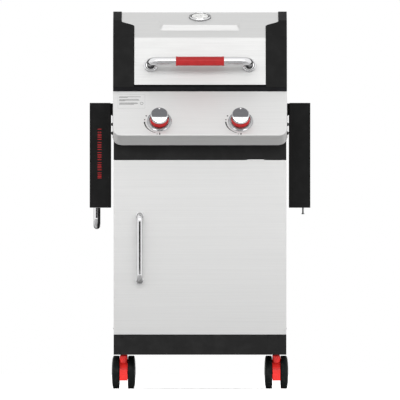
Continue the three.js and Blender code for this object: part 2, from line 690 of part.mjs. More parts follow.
// ---------- lid ----------
// (y, z) points of the skin's outside, from the front edge over the top to the rear edge.
const skinBottom = LID_BOTTOM + 4;
const lidLine = [
  [FRONT, skinBottom],
  [FRONT + LID_FRONT_LEAN, skinBottom + LID_FRONT_HEIGHT],
  [FRONT + LID_FRONT_LEAN + LID_SHOULDER_HEIGHT, skinBottom + LID_FRONT_HEIGHT + LID_SHOULDER_HEIGHT],
];
const [browY, browZ] = lidLine[2];
const lidTop = browZ + LID_BROW_HEIGHT;
lidLine.push(
  [browY + LID_BROW_DEPTH, lidTop],
  [RIM_REAR - 145, lidTop],
  [RIM_REAR - 58, lidTop - (lidTop - skinBottom) * 0.2],
  [RIM_REAR - 4, lidTop - (lidTop - skinBottom) * 0.6],
  [RIM_REAR + 4, skinBottom + 8],
);
const lean = Math.atan2(LID_FRONT_LEAN, LID_FRONT_HEIGHT);
const browSlope = Math.atan2(LID_BROW_HEIGHT, LID_BROW_DEPTH);
const skinHalf = RIM_HALF - CAP_SIDE - GAP;

// The raised, trapezoidal plateau under the thermometer: (y, z) wedge, cut to a splayed outline.
// It follows the brow, and in front of the fold it drops by its own steeper slope to a low front wall.
function plateau(inset) {
  const FRONT_HALF = 115;
  const REAR_HALF = 150;
  const VISOR_DEPTH = 28; // in front of the fold
  const VISOR_DROP = 14.5;
  const frontY = browY - VISOR_DEPTH;
  const rearY = browY + LID_BROW_DEPTH - 8;
  const onBrow = (y, rise) => browZ + (y - browY) * Math.tan(browSlope) + rise;
  const wedge = prismX(
    [
      [frontY + inset, browZ - VISOR_DROP + PLATEAU_RISE - inset],
      [frontY + inset, onBrow(frontY, -30)],
      [rearY, onBrow(rearY, -30)],
      [rearY - inset, onBrow(rearY, -inset)],
      [rearY - 12, onBrow(rearY - 12, PLATEAU_RISE - inset)],
      [browY, onBrow(browY, PLATEAU_RISE - inset)],
    ],
    [-REAR_HALF, REAR_HALF],
  );
  const plan = [
    [-FRONT_HALF + inset, frontY],
    [FRONT_HALF - inset, frontY],
    [REAR_HALF - inset, rearY],
    [-REAR_HALF + inset, rearY],
  ];
  return wedge.intersect(solid(extruded(outline(plan), 400).translate(0, 0, lidTop - 200)));
}

const thermometerY = browY + THERMOMETER_SETBACK;
const thermometerZ = browZ + THERMOMETER_SETBACK * Math.tan(browSlope) + PLATEAU_RISE;

// Places a solid that stands along +Z on the brow, where the thermometer is.
const onBrow = (body) =>
  body.rotate([browSlope * RAD, 0, 0]).translate([0, thermometerY, thermometerZ]);

function lidSkin() {
  const wall = 1.6;
  const closed = (line) => [...line, [line.at(-1)[0], line[0][1] - 60], [line[0][0], line[0][1] - 60]];
  const outside = prismX(closed(lidLine), [-skinHalf, skinHalf]);
  const inside = prismX(closed(offsetLine(lidLine, -wall)), [-skinHalf - 1, skinHalf + 1]);
  const below = box([-RIM_HALF, RIM_HALF], [FRONT - 50, REAR + 50], [skinBottom - 200, skinBottom]);
  const probeHole = onBrow(rod(8, -40, 20, 16));
  return cut(join(outside, plateau(0)), inside, plateau(wall), below, probeHole);
}

// Cast end cap: side wall, a wide band on the front and a narrow band over the top and rear.
function lidCap(side) {
  const outer = side * RIM_HALF;
  const inner = side * (RIM_HALF - CAP_FACE_WIDTH);
  const line = offsetLine(lidLine, CAP_PROUD);
  const clear = offsetLine(lidLine, GAP);
  const foot = LID_BOTTOM;
  const chin = [line[0][0] + 1, foot];
  const heel = [LID_PIVOT[0] - 12, foot];
  const outside = prismX([...line, heel, chin], [outer, inner]);
  const wall = [outer, outer - side * CAP_SIDE];
  const within = [wall[1], inner - side];
  const under = foot - 20;
  const inside = prismX([...clear, [clear.at(-1)[0], under], [clear[0][0], under]], within);
  const stepTop = browZ - 2;
  const stepFoot = stepTop - CAP_STEP;
  const band = side * (RIM_HALF - CAP_BAND_WIDTH);
  const past = inner - side * 5;
  const overall = [FRONT - 50, REAR + 50];
  const sky = lidTop + 50;
  const step = [[past, stepFoot], [inner, stepFoot], [band, stepTop], [band, sky], [past, sky]];
  const above = prismY(step, overall);
  const behindFace = box([past, band], [browY + 5, REAR + 50], [under, sky]);
  const rearFoot = box(within, [RIM_REAR - 30, REAR + 50], [under, skinBottom + 8]);
  const ear = rodX(EAR_RADIUS, wall, ...LID_PIVOT, 20);
  const [pivotY, pivotZ] = LID_PIVOT;
  const neckLine = [
    heel,
    [heel[0], skinBottom + 40],
    line.at(-1),
    [pivotY + EAR_RADIUS, pivotZ],
    [pivotY, pivotZ - EAR_RADIUS + 1],
  ];
  const neck = prismX(neckLine, wall);
  const pinHole = rodX(HINGE_PIN_RADIUS + RUNNING_GAP, [outer + side, outer - side * 20], ...LID_PIVOT);
  return cut(join(cut(outside, inside, above, behindFace, rearFoot), ear, neck), pinHole);
}

// Bracket on the firebox's rear edge with the lid's hinge pin riveted in.
function lidHinge(side) {
  const far = side * (RIM_HALF - CAP_SIDE - 5);
  const near = far - side * 8;
  const [y, z] = LID_PIVOT;
  return join(
    box([near, far], [RIM_REAR + GAP, y], [RIM_BOTTOM, z]),
    rodX(8, [near, far], y, z, 20),
    rodX(HINGE_PIN_RADIUS, [near, side * (RIM_HALF + 2)], y, z),
  );
}

// A point on the lid's front facet at a height, and a way to stand a solid on it.
const handleZ = skinBottom + LID_FRONT_HEIGHT * 0.4;
const handleY = FRONT + (handleZ - skinBottom) * Math.tan(lean);
const onLidFront = (body) =>
  body.rotate([90 - lean * RAD, 0, 0]).translate([0, handleY, handleZ]);

// Stepped round foot of a handle.
function foot(radius, tall) {
  const section = [
    [0, GAP],
    [radius, GAP],
    [radius, tall * 0.4],
    [radius * 0.75, tall * 0.8],
    [radius * 0.6, tall],
    [0, tall],
  ];
  return revolved(section, 24);
}

function lidHandle() {
  const bar = bentBar(HANDLE_RADIUS, HANDLE_SPAN, HANDLE_REACH, HANDLE_BEND, 30);
  const feet = [-1, 1].map((side) =>
    foot(HANDLE_FOOT_RADIUS, 12).translate([(side * HANDLE_SPAN) / 2, 0, 0]),
  );
  const plane = box([-HANDLE_SPAN, HANDLE_SPAN], [-40, 40], [-20, GAP]);
  return onLidFront(cut(join(bar, ...feet), plane));
}

function lidGrip() {
  const gripRadius = HANDLE_RADIUS + RUNNING_GAP + GRIP_WALL;
  const grip = revolved(
    [
      [HANDLE_RADIUS + RUNNING_GAP, -GRIP_LENGTH / 2],
      [gripRadius - 0.8, -GRIP_LENGTH / 2],
      [gripRadius, -GRIP_LENGTH / 2 + 1],
      [gripRadius, GRIP_LENGTH / 2 - 1],
      [gripRadius - 0.8, GRIP_LENGTH / 2],
      [HANDLE_RADIUS + RUNNING_GAP, GRIP_LENGTH / 2],
      [HANDLE_RADIUS + RUNNING_GAP, -GRIP_LENGTH / 2],
    ],
    24,
  );
  return onLidFront(grip.rotate([0, 90, 0]).translate([0, 0, HANDLE_REACH]));
}

function thermometerCase() {
  const PROBE_RADIUS = 2.5;
  const PROBE_LENGTH = 62;
  const SHANK_RADIUS = 7;
  const r = THERMOMETER_RADIUS;
  const section = [
    [0, -PROBE_LENGTH],
    [PROBE_RADIUS, -PROBE_LENGTH + 2],
    [PROBE_RADIUS, -18],
    [SHANK_RADIUS, -16],
    [SHANK_RADIUS, GAP],
    [r - 1.5, GAP],
    [r, 1.8],
    [r, CASE_HEIGHT - 1.5],
    [r - 1.5, CASE_HEIGHT],
    [r - 4, CASE_HEIGHT],
    [r - 5, DIAL_SEAT],
    [0, DIAL_SEAT],
  ];
  return onBrow(revolved(section, 28));
}

const CASE_HEIGHT = 6.4;
const DIAL_SEAT = 3.6;
const DIAL_TOP = 5;
const thermometerDial = () => onBrow(rod(THERMOMETER_RADIUS - 6, DIAL_SEAT + GAP, DIAL_TOP, 28));

// ---------- door ----------
const DOOR_WALL = 1.5;
const LINER_THICKNESS = 1.4;

// The door's width or height, less a margin on both sides.
const doorAcross = (margin) => [-HALF + margin, HALF - margin];
const doorUpright = (margin) => [DOOR_BOTTOM + margin, DOOR_TOP - margin];

function doorSkin() {
  const within = [DOOR_FACE + DOOR_WALL, DOOR_BACK + 1];
  return cut(
    box(doorAcross(0), [DOOR_FACE, DOOR_BACK], doorUpright(0)),
    box(doorAcross(DOOR_WALL), within, doorUpright(DOOR_WALL)),
    rodZ(DOOR_PIN_RADIUS + RUNNING_GAP, doorUpright(-5), ...DOOR_PIN),
  );
}

function doorLiner() {
  const edge = DOOR_WALL + GAP;
  const back = DOOR_BACK - 1;
  return box(doorAcross(edge), [back - LINER_THICKNESS, back], doorUpright(edge));
}

const doorHandleX = -HALF + DOOR_HANDLE_INSET;
const doorHandleZ = (DOOR_BOTTOM + DOOR_TOP) / 2 - 2;

function doorHandle() {
  const bar = bentBar(DOOR_HANDLE_RADIUS, DOOR_HANDLE_SPAN, DOOR_HANDLE_REACH, DOOR_HANDLE_BEND, 24, 10);
  const feet = [-1, 1].map((side) =>
    foot(DOOR_HANDLE_FOOT_RADIUS, 7).translate([(side * DOOR_HANDLE_SPAN) / 2, 0, 0]),
  );
  const plane = box([-DOOR_HANDLE_SPAN, DOOR_HANDLE_SPAN], [-20, 20], [-20, GAP]);
  return cut(join(bar, ...feet), plane)
    .rotate([0, 0, 90])
    .rotate([90, 0, 0])
    .translate([doorHandleX, DOOR_FACE, doorHandleZ]);
}

// ---------- side shelves ----------
const shelfY = [SHELF_FRONT, SHELF_FRONT + SHELF_DEPTH];
const plateY = [shelfY[0] + SHELF_TRIM + GAP, shelfY[1] - SHELF_TRIM - GAP];
const barX = SHELF_OUTER - 21.5; // towel bar and pegs, from the cabinet's middle
const PLATE_WALL = 2;
const PEGS = 4;
const PEG_RADIUS = 2.2;
const PEG_PITCH = 64;
const pegY = (i) => (plateY[0] + plateY[1]) / 2 + (i - (PEGS - 1) / 2) * PEG_PITCH;

// Steel work surface with its end walls folded in. Folded down, it faces outwards.
function shelfPlate(side, pegHoles) {
  const wall = PLATE_WALL;
  const LIP = 11;
  const section = [
    [SHELF_OUTER, SHELF_TOP],
    [SHELF_OUTER, SHELF_END],
    [SHELF_INNER + wall, SHELF_END],
    [SHELF_INNER + wall, SHELF_END + wall],
    [SHELF_OUTER - wall, SHELF_END + wall],
    [SHELF_OUTER - wall, SHELF_TOP - wall],
    [SHELF_OUTER - LIP, SHELF_TOP - wall],
    [SHELF_OUTER - LIP, SHELF_TOP],
  ];
  const plate = prismY(section.map(([x, z]) => [side * x, z]), plateY);
  if (!pegHoles) return plate;
  const holes = Array.from({ length: PEGS }, (_, i) =>
    rodZ(PEG_RADIUS + RUNNING_GAP, [SHELF_END - 5, SHELF_END + 5], side * barX, pegY(i), 12),
  );
  return cut(plate, ...holes);
}

// Moulded trim: an open shell with a boss that turns on the hinge pin.
function shelfTrim(side, end) {
  const WALL = 2.5;
  const BOSS_RADIUS = 9.5;
  const outerY = end < 0 ? shelfY[0] : shelfY[1];
  const innerY = outerY - end * SHELF_TRIM;
  const openY = outerY - end * WALL;
  const across = (margin) => [side * (SHELF_INNER + margin), side * (SHELF_OUTER - margin)];
  const upright = (margin) => [SHELF_END + margin, SHELF_TOP - margin];
  const shell = cut(
    box(across(0), [outerY, innerY], upright(0)),
    box(across(WALL), [openY, innerY - end], upright(WALL)),
  );
  const pivot = [side * SHELF_AXIS_X, SHELF_AXIS_Z];
  const boss = rodY(BOSS_RADIUS, [outerY - end, innerY + end * 0.5], ...pivot, 20);
  const bore = rodY(SHELF_PIN_RADIUS + RUNNING_GAP, [openY - end * 2, innerY - end], ...pivot);
  return cut(join(shell, boss), bore);
}

// Bracket plate on the cabinet's side with two ears and the shelf's hinge pin riveted through them.
function shelfBracket(side) {
  const THICK = 3;
  const EAR_REACH = 13; // beyond the pin's axis
  const face = HALF + GAP;
  const earTop = SHELF_TOP - 1.5; // hidden behind the trims
  const earFoot = SHELF_AXIS_Z - 17;
  const frontEar = plateY[0] + 2;
  const rearEar = plateY[1] - 2 - THICK;
  const earOutline = [
    [face, earFoot - 14],
    [SHELF_AXIS_X + 6, earFoot + 4],
    [SHELF_AXIS_X + EAR_REACH, SHELF_AXIS_Z],
    [SHELF_AXIS_X + EAR_REACH, earTop - 6],
    [SHELF_AXIS_X + 7, earTop],
    [face, earTop],
  ].map(([x, z]) => [side * x, z]);
  return join(
    box([side * face, side * (face + THICK)], [frontEar, rearEar + THICK], [RAIL_TOP, earTop]),
    prismY(earOutline, [frontEar, frontEar + THICK]),
    prismY(earOutline, [rearEar, rearEar + THICK]),
    rodY(SHELF_PIN_RADIUS, [shelfY[0] + 6, shelfY[1] - 6], side * SHELF_AXIS_X, SHELF_AXIS_Z),
  );
}

function towelBar(side) {
  return cut(
    bentBar(TOWEL_BAR_RADIUS, TOWEL_BAR_SPAN, TOWEL_BAR_REACH, TOWEL_BAR_BEND, 24, 10),
    box([-TOWEL_BAR_SPAN, TOWEL_BAR_SPAN], [-20, 20], [-20, GAP]),
  )
    .rotate([180, 0, 90])
    .translate([side * barX, (plateY[0] + plateY[1]) / 2, SHELF_END]);
}

// Four headed pegs on one strip. The strip lies inside the shelf and the pegs pass through its end wall.
function utensilPegs(side) {
  const HEAD_RADIUS = 4;
  const LENGTH = 20; // below the shelf's end
  const STRIP_HALF = 8;
  const STRIP_THICKNESS = 2.5;
  const inside = SHELF_END + PLATE_WALL + GAP;
  const strip = box(
    [side * (barX - STRIP_HALF), side * (barX + STRIP_HALF)],
    [pegY(0) - 15, pegY(PEGS - 1) + 15],
    [inside, inside + STRIP_THICKNESS],
  );
  const section = [
    [0, -LENGTH],
    [HEAD_RADIUS, -LENGTH],
    [HEAD_RADIUS, -LENGTH + 2.5],
    [PEG_RADIUS, -LENGTH + 3.5],
    [PEG_RADIUS, PLATE_WALL + 2],
    [0, PLATE_WALL + 2],
  ];
  const pegs = Array.from({ length: PEGS }, (_, i) =>
    revolved(section, 12).translate([side * barX, pegY(i), SHELF_END]),
  );
  return join(strip, ...pegs);
}

// ---------- casters, each in its own frame: the swivel axis at its origin, on the floor ----------
const axle = [CASTER_TRAIL, AXLE_HEIGHT]; // y, z
const HOOD_RADIUS = WHEEL_RADIUS - 5;
const CASTER_WEB = WHEEL_SPACE - 2 * CASTER_WEB_GAP;
const onCircle = (radius, degrees) => [
  axle[0] + radius * Math.cos(THREE.MathUtils.degToRad(degrees)),
  axle[1] + radius * Math.sin(THREE.MathUtils.degToRad(degrees)),
];
const arc = (radius, from, to, steps) =>
  Array.from({ length: steps + 1 }, (_, i) => onCircle(radius, from + ((to - from) * i) / steps));
const WEB_RADIUS = HOOD_RADIUS - 2;
const BRAKE_FROM = 168; // degrees round the axle
const BRAKE_TO = 211;
const BRAKE_THICKNESS = 5;

// Housing between the two wheels, with the swivel stem.
function casterHousing() {
  const web = [
    ...arc(WEB_RADIUS, 62, 212, 14),
    onCircle(AXLE_RADIUS + 7, 250),
    onCircle(AXLE_RADIUS + 9, 330),
    onCircle(AXLE_RADIUS + 11, 20),
  ];
  const half = CASTER_WEB / 2;
  const stemTop = BASE_BOTTOM + STEM_LENGTH - 3;
  const neckTop = BASE_BOTTOM - 1;
  const neckFoot = BASE_BOTTOM - 25;
  const neck = [[0, neckFoot], [half, neckFoot], [half, neckTop - 4], [half - 4, neckTop], [0, neckTop]];
  return cut(
    join(
      prismX(web, [-half, half]),
      revolved(neck, 20),
      rod(STEM_RADIUS, BASE_BOTTOM - 10, stemTop, 16),
    ),
    rodX(AXLE_RADIUS + RUNNING_GAP, [-half - 1, half + 1], ...axle),
  );
}

// Two crowned wheels on one axle, turning together.
function wheelPair() {
  const inner = WHEEL_SPACE / 2;
  const outer = inner + WHEEL_WIDTH;
  const r = WHEEL_RADIUS;
  const wheel = [
    [AXLE_RADIUS, inner],
    [r - 2, inner],
    [r, inner + 2],
    [r, outer - 7],
    [r - 8, outer - 2],
    [0, outer],
  ];
  const mirrored = wheel.map(([radius, x]) => [radius, -x]).reverse();
  const profile = [...mirrored, ...wheel];
  const points = profile.map(([radius, x]) => new THREE.Vector2(radius, x));
  const half = Math.PI / WHEEL_SIDES;
  const turned = new THREE.LatheGeometry(points, WHEEL_SIDES, half).rotateZ(-Math.PI / 2);
  return solid(turned).translate([0, ...axle]);
}

// Curved brake pedal on the front of a caster's housing, pivoted at its upper end.
function brakePedal() {
  const half = WHEEL_SPACE / 2 - BRAKE_GAP;
  const low = WEB_RADIUS + GAP;
  const inner = arc(low, BRAKE_FROM, BRAKE_TO, 5);
  const outer = arc(low + BRAKE_THICKNESS, BRAKE_TO, BRAKE_FROM, 5);
  return prismX([...inner, ...outer], [-half, half]);
}

// ---------- assembly ----------
const grill = new THREE.Group();
const add = (group, name, body, material) => group.add(piece(name, body, material));
const sides = { left: -1, right: 1 };

add(grill, "base_pan", basePan(), blackSteel);
add(grill, "rear_panel", rearPanel(), blackSteel);
add(grill, "front_rail", frontRail(), blackSteel);
add(grill, "door_pin_bottom", doorPin(BASE_TOP - 8, BASE_TOP + DOOR_GAP / 2, DOOR_BOTTOM + 12), zinc);
add(grill, "door_pin_top", doorPin(DOOR_TOP - 12, DOOR_TOP + DOOR_GAP / 2, RAIL_BOTTOM + 8), zinc);
add(grill, "firebox", firebox(), enamel);
add(grill, "warming_rack", warmingRack(), chrome);
add(grill, "grease_tray", greaseTray(), zinc);
for (const [name, side] of Object.entries(sides)) {
  add(grill, `side_panel_${name}`, sidePanel(side), blackSteel);
  add(grill, `burner_${name}`, burner(side), steel);
  add(grill, `flame_tamer_${name}`, flameTamer(side), steel);
  add(grill, `grate_${name}`, grate(side), castIron);
  add(grill, `shelf_bracket_${name}`, shelfBracket(side), blackSteel);
  add(grill, `lid_hinge_${name}`, lidHinge(side), zinc);
}

const lid = new THREE.Group();
add(lid, "lid_skin", lidSkin(), steel);
add(lid, "lid_cap_left", lidCap(-1), castBlack);
add(lid, "lid_cap_right", lidCap(1), castBlack);
add(lid, "lid_handle", lidHandle(), chrome);
add(lid, "lid_grip", lidGrip(), red);
add(lid, "thermometer_case", thermometerCase(), chrome);
add(lid, "thermometer_dial", thermometerDial(), dialWhite);

const door = new THREE.Group();
add(door, "door_skin", doorSkin(), steel);
add(door, "door_liner", doorLiner(), zinc);
add(door, "door_handle", doorHandle(), chrome);

add(panel, "control_panel", controlPanel(), steel);
add(panel, "manifold", manifold(), zinc);
for (const [name, side] of Object.entries(sides)) {
  const knob = new THREE.Group();
  knob.position.set((side * KNOB_SPACING) / 2, -KNOB_DROP, 0);
  add(knob, `bezel_${name}`, bezel(), chrome);
  add(knob, `valve_${name}`, valve(), brass);
  add(knob, `valve_stem_${name}`, valveStem(), zinc);
  add(knob, `knob_skirt_${name}`, knobSkirt(), red);
  add(knob, `knob_cap_${name}`, knobCap(), chrome);
  panel.add(knob);
}

const shelves = new THREE.Group();
for (const [name, side] of Object.entries(sides)) {
  add(shelves, `shelf_plate_${name}`, shelfPlate(side, side > 0), steel);
  add(shelves, `shelf_trim_front_${name}`, shelfTrim(side, -1), blackPlastic);
  add(shelves, `shelf_trim_rear_${name}`, shelfTrim(side, 1), blackPlastic);
}
add(shelves, "towel_bar", towelBar(-1), chrome);
add(shelves, "utensil_pegs", utensilPegs(1), zinc);

for (const [name, [sx, sy]] of Object.entries(casterPlaces)) {
  const caster = new THREE.Group();
  caster.position.set(sx * casterX, sy * casterY, 0);
  add(caster, `caster_housing_${name}`, casterHousing(), red);
  add(caster, `caster_wheels_${name}`, wheelPair(), tyreBlack);
  if (sy < 0) add(caster, `caster_brake_${name}`, brakePedal(), red);
  grill.add(caster);
}

grill.add(lid, door, panel, shelves);

// The part's frame has its origin on the floor, under the middle of the whole grill.
const whole = new THREE.Box3().setFromObject(grill, true);
grill.position.y = -(whole.min.y + whole.max.y) / 2;

export default grill;
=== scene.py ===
"""Gas barbecue grill on a wheeled cabinet: its looks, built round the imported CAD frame.
Metres, +Z up, the front faces -Y. Sizes come from the frame's boxes and from the named values below."""
import json
import math

import bmesh
import bpy
from mathutils import Matrix, Vector


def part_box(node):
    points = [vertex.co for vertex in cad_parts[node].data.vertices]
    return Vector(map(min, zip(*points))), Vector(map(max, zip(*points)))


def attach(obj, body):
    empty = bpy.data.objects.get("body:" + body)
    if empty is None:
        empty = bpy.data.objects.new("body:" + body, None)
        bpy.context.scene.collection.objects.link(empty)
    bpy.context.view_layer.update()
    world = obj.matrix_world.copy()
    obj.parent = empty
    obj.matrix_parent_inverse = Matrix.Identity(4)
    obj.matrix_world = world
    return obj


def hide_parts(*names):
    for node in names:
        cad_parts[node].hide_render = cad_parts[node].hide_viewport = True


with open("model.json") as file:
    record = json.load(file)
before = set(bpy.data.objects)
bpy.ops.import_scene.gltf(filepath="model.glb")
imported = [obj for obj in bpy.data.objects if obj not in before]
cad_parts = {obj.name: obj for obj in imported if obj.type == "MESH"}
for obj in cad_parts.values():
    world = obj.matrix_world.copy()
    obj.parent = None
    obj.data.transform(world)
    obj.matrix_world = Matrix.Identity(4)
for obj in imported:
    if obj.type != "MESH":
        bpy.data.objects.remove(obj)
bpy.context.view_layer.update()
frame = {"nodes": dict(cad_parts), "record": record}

SIDES = {"left": -1, "right": 1}
CORNERS = ("front_left", "front_right", "rear_left", "rear_right")
MM = 0.001
TINY = 1e-7  # metres, under which two numbers are the same
TILT = math.radians(38)  # control panel, back from upright
SHEET = 1.2 * MM  # thickness of the folded sheets


# ---------- materials ----------
class Look:
    """A procedural material: one Principled shader with grain, bump and soft variation from noise."""

    def __init__(self, name, color, metallic, roughness, specular=0.5, coat=0.0):
        self.material = bpy.data.materials.new(name)
        self.material.use_nodes = True
        self.tree = self.material.node_tree
        self.shader = self.tree.nodes["Principled BSDF"]
        self.color = color
        self.roughness = roughness
        self.place = self.node("ShaderNodeTexCoord").outputs["Object"]
        self.height = None
        for socket, value in (
            ("Base Color", (*color, 1)),
            ("Metallic", metallic),
            ("Roughness", roughness),
            ("Specular IOR Level", specular),
            ("Coat Weight", coat),
            ("Coat Roughness", 0.12),
        ):
            self.shader.inputs[socket].default_value = value

    def node(self, kind, **values):
        made = self.tree.nodes.new(kind)
        for key, value in values.items():
            setattr(made, key, value)
        return made

    def link(self, source, target):
        self.tree.links.new(source, target)

    def scaled(self, scale):
        mapping = self.node("ShaderNodeMapping")
        mapping.inputs["Scale"].default_value = scale if isinstance(scale, tuple) else (scale,) * 3
        self.link(self.place, mapping.inputs["Vector"])
        return mapping.outputs["Vector"]

    def noise(self, scale, detail=3.0):
        """Noise with so many waves to the metre along X, Y and Z."""
        made = self.node("ShaderNodeTexNoise")
        made.inputs["Scale"].default_value = 1
        made.inputs["Detail"].default_value = detail
        self.link(self.scaled(scale), made.inputs["Vector"])
        return made.outputs["Fac"]

    def cells(self, scale):
        made = self.node("ShaderNodeTexVoronoi")
        made.inputs["Scale"].default_value = 1
        self.link(self.scaled(scale), made.inputs["Vector"])
        return made.outputs["Distance"]

    def ranged(self, source, low, high, start=0.3, stop=0.7):
        made = self.node("ShaderNodeMapRange")
        for socket, value in (("From Min", start), ("From Max", stop), ("To Min", low), ("To Max", high)):
            made.inputs[socket].default_value = value
        self.link(source, made.inputs["Value"])
        return made.outputs["Result"]

    def rough(self, source, spread, base=None):
        base = self.roughness if base is None else base
        self.link(self.ranged(source, base - spread, base + spread), self.shader.inputs["Roughness"])
        return self

    def tint(self, source, other, start=0.3, stop=0.7):
        """Mixes the base colour towards another one where the source is high."""
        mix = self.node("ShaderNodeMix", data_type="RGBA")
        mix.inputs["A"].default_value = (*self.color, 1)
        mix.inputs["B"].default_value = (*other, 1)
        self.link(self.ranged(source, 0, 1, start, stop), mix.inputs["Factor"])
        self.link(mix.outputs["Result"], self.shader.inputs["Base Color"])
        return self

    def bump(self, source, height, strength=1.0):
        """Bump that stands so many metres high, on top of any bump made before."""
        made = self.node("ShaderNodeBump")
        made.inputs["Strength"].default_value = strength
        made.inputs["Distance"].default_value = height
        self.link(source, made.inputs["Height"])
        if self.height is not None:
            self.link(self.height, made.inputs["Normal"])
        self.height = made.outputs["Normal"]
        self.link(self.height, self.shader.inputs["Normal"])
        return self


def shade(color, factor):
    return tuple(min(1.0, c * factor) for c in color)


def brushed(name, color, roughness, along):
    """Brushed sheet: fine scratches that run along one axis, and faint broad smudges."""
    look = Look(name, color, 1.0, roughness)
    grain = look.noise(tuple(9 if axis == along else 1500 for axis in "XYZ"), 4)
    lines = look.noise(tuple(2.5 if axis == along else 420 for axis in "XYZ"), 2)
    smudge = look.noise(7, 3)
    look.rough(grain, 0.07).tint(lines, shade(color, 0.965))
    look.bump(grain, 0.01 * MM, 0.4).bump(smudge, 0.4 * MM, 0.04)
    return look.material


def coated(name, color, roughness, grain, height, specular=0.12, metallic=0.0):
    """Powder coat or moulded plastic: an all-over fine texture with slight changes of gloss."""
    look = Look(name, color, metallic, roughness, specular)
    fine = look.noise(grain, 2)
    cloud = look.noise(11, 4)
    look.rough(cloud, 0.06).tint(look.noise(35, 5), shade(color, 1.45), 0.45, 0.8)
    look.bump(fine, height, 0.6).bump(cloud, 0.25 * MM, 0.05)
    return look.material


def plated(name, color, roughness):
    """Bright plating with hair-fine wipe marks. Its reflections darken towards the edge of a bar."""
    look = Look(name, color, 1.0, roughness)
    look.shader.inputs["Specular Tint"].default_value = (0.12, 0.12, 0.12, 1)
    look.rough(look.noise((60, 900, 60), 3), 0.025).bump(look.noise((40, 40, 40), 2), 0.04 * MM, 0.12)
    return look.material


def zinc_plate():
    look = Look("zinc_plate", (0.5, 0.5, 0.5), 1.0, 0.38)
    spangle = look.cells(170)
    look.rough(spangle, 0.1).tint(spangle, (0.36, 0.37, 0.38), 0.1, 0.9)
    look.bump(look.noise(500, 3), 0.02 * MM, 0.5)
    return look.material


def cast_iron():
    look = Look("cast_iron", (0.016, 0.016, 0.017), 0.0, 0.62, 0.35)
    sand = look.noise(650, 5)
    look.rough(look.noise(30, 4), 0.12).tint(look.noise(18, 5), (0.03, 0.024, 0.02), 0.45, 0.8)
    look.bump(sand, 0.35 * MM, 0.7)
    return look.material


def machined_brass():
    look = Look("machined_brass", (0.62, 0.42, 0.14), 1.0, 0.3)
    look.rough(look.noise((900, 900, 60), 3), 0.08).tint(look.noise(45, 4), (0.4, 0.24, 0.08), 0.5, 0.9)
    return look.material


def moulded_red(name, color):
    look = Look(name, color, 0.0, 0.4, 0.22, 0.14)
    look.rough(look.noise(25, 4), 0.05).tint(look.noise(60, 3), shade(color, 0.84), 0.4, 0.8)
    look.bump(look.noise(1100, 2), 0.03 * MM, 0.5)
    return look.material


def wheel_nylon():
    look = Look("wheel_nylon", (0.006, 0.0075, 0.0075), 0.0, 0.5, 0.09)
    look.rough(look.noise(40, 4), 0.1).tint(look.noise(90, 5), (0.02, 0.019, 0.018), 0.5, 0.85)
    look.bump(look.noise(900, 3), 0.05 * MM, 0.5)
    return look.material


def glass_pane():
    look = Look("thin_glass", (1, 1, 1), 0.0, 0.03)
    look.shader.inputs["Transmission Weight"].default_value = 1
    look.shader.inputs["IOR"].default_value = 1.2
    look.rough(look.noise(50, 3), 0.02, 0.04)
    return look.material


def dial_print():
    look = Look("dial_print", (0.86, 0.86, 0.84), 0.0, 0.25, 0.5, 0.6)
    look.rough(look.noise(80, 2), 0.04)
    return look.material


STEEL = (0.78, 0.78, 0.775)
LOOKS = {
    "stainless": brushed("stainless_sheet", STEEL, 0.58, "X"),
    "chrome": plated("chrome_plate", (0.82, 0.82, 0.83), 0.07),
    "zinc": zinc_plate(),
    "brass": machined_brass(),
    "black_steel": coated("black_powder_coat", (0.01, 0.01, 0.01), 0.5, 1500, 0.06 * MM, 0.1),
    "cast_black": coated("black_cast_paint", (0.0095, 0.0095, 0.0095), 0.55, 700, 0.09 * MM, 0.05),
    "enamel": coated("black_enamel", (0.007, 0.007, 0.008), 0.3, 300, 0.03 * MM, 0.08),
    "cast_iron": cast_iron(),
    "black_plastic": coated("black_moulding", (0.0065, 0.0065, 0.0065), 0.52, 1900, 0.05 * MM, 0.07),
    "red_plastic": moulded_red("red_moulding", (0.31, 0.009, 0.01)),
    "wheel_black": wheel_nylon(),
    "dial_white": dial_print(),
}
# Painted light: the door wears a lighter copy of the stainless, which stands in for light falling on it.
STEEL_PAINTED_LIGHT = brushed("stainless_door_painted_light", shade(STEEL, 1.06), 0.5, "X")
# Painted shade: the lid wears a darker copy of the stainless, which stands in for shade on it.
STEEL_PAINTED_SHADE = brushed("stainless_lid_painted_shade", shade(STEEL, 0.885), 0.56, "X")
BEZEL_PLATE = plated("bezel_plate", (0.5, 0.5, 0.51), 0.2)
# Painted reflection: a dark steel for the knob caps' faces, which stands for dark surroundings mirrored in
# their chrome.
DARK_REFLECTION_STEEL = brushed("knob_face_painted_reflection", (0.18, 0.18, 0.19), 0.3, "X")
INK = coated("grey_print", (0.06, 0.06, 0.06), 0.5, 900, 0.01 * MM)
PALE_INK = coated("pale_print", (0.4, 0.4, 0.4), 0.5, 900, 0.01 * MM)
# Black print for the panel's scale, and painted shade for the burners' port holes.
BLACK_INK_AND_HOLE_SHADE = coated("black_print_and_hole_shade", (0.02, 0.02, 0.02), 0.5, 900, 0.01 * MM)
GLASS_PANE = glass_pane()
CASTER_RED = moulded_red("caster_red", (0.68, 0.024, 0.02))


# ---------- frame lookups ----------
BODY_OF = {n: body for body, nodes in frame["record"]["behaviour"]["bodies"].items() for n in nodes}
SLOT_OF = {row["node"]: row["material_slot"] for row in frame["record"]["subparts"]}


def middle(node):
    low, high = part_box(node)
    return (low + high) / 2


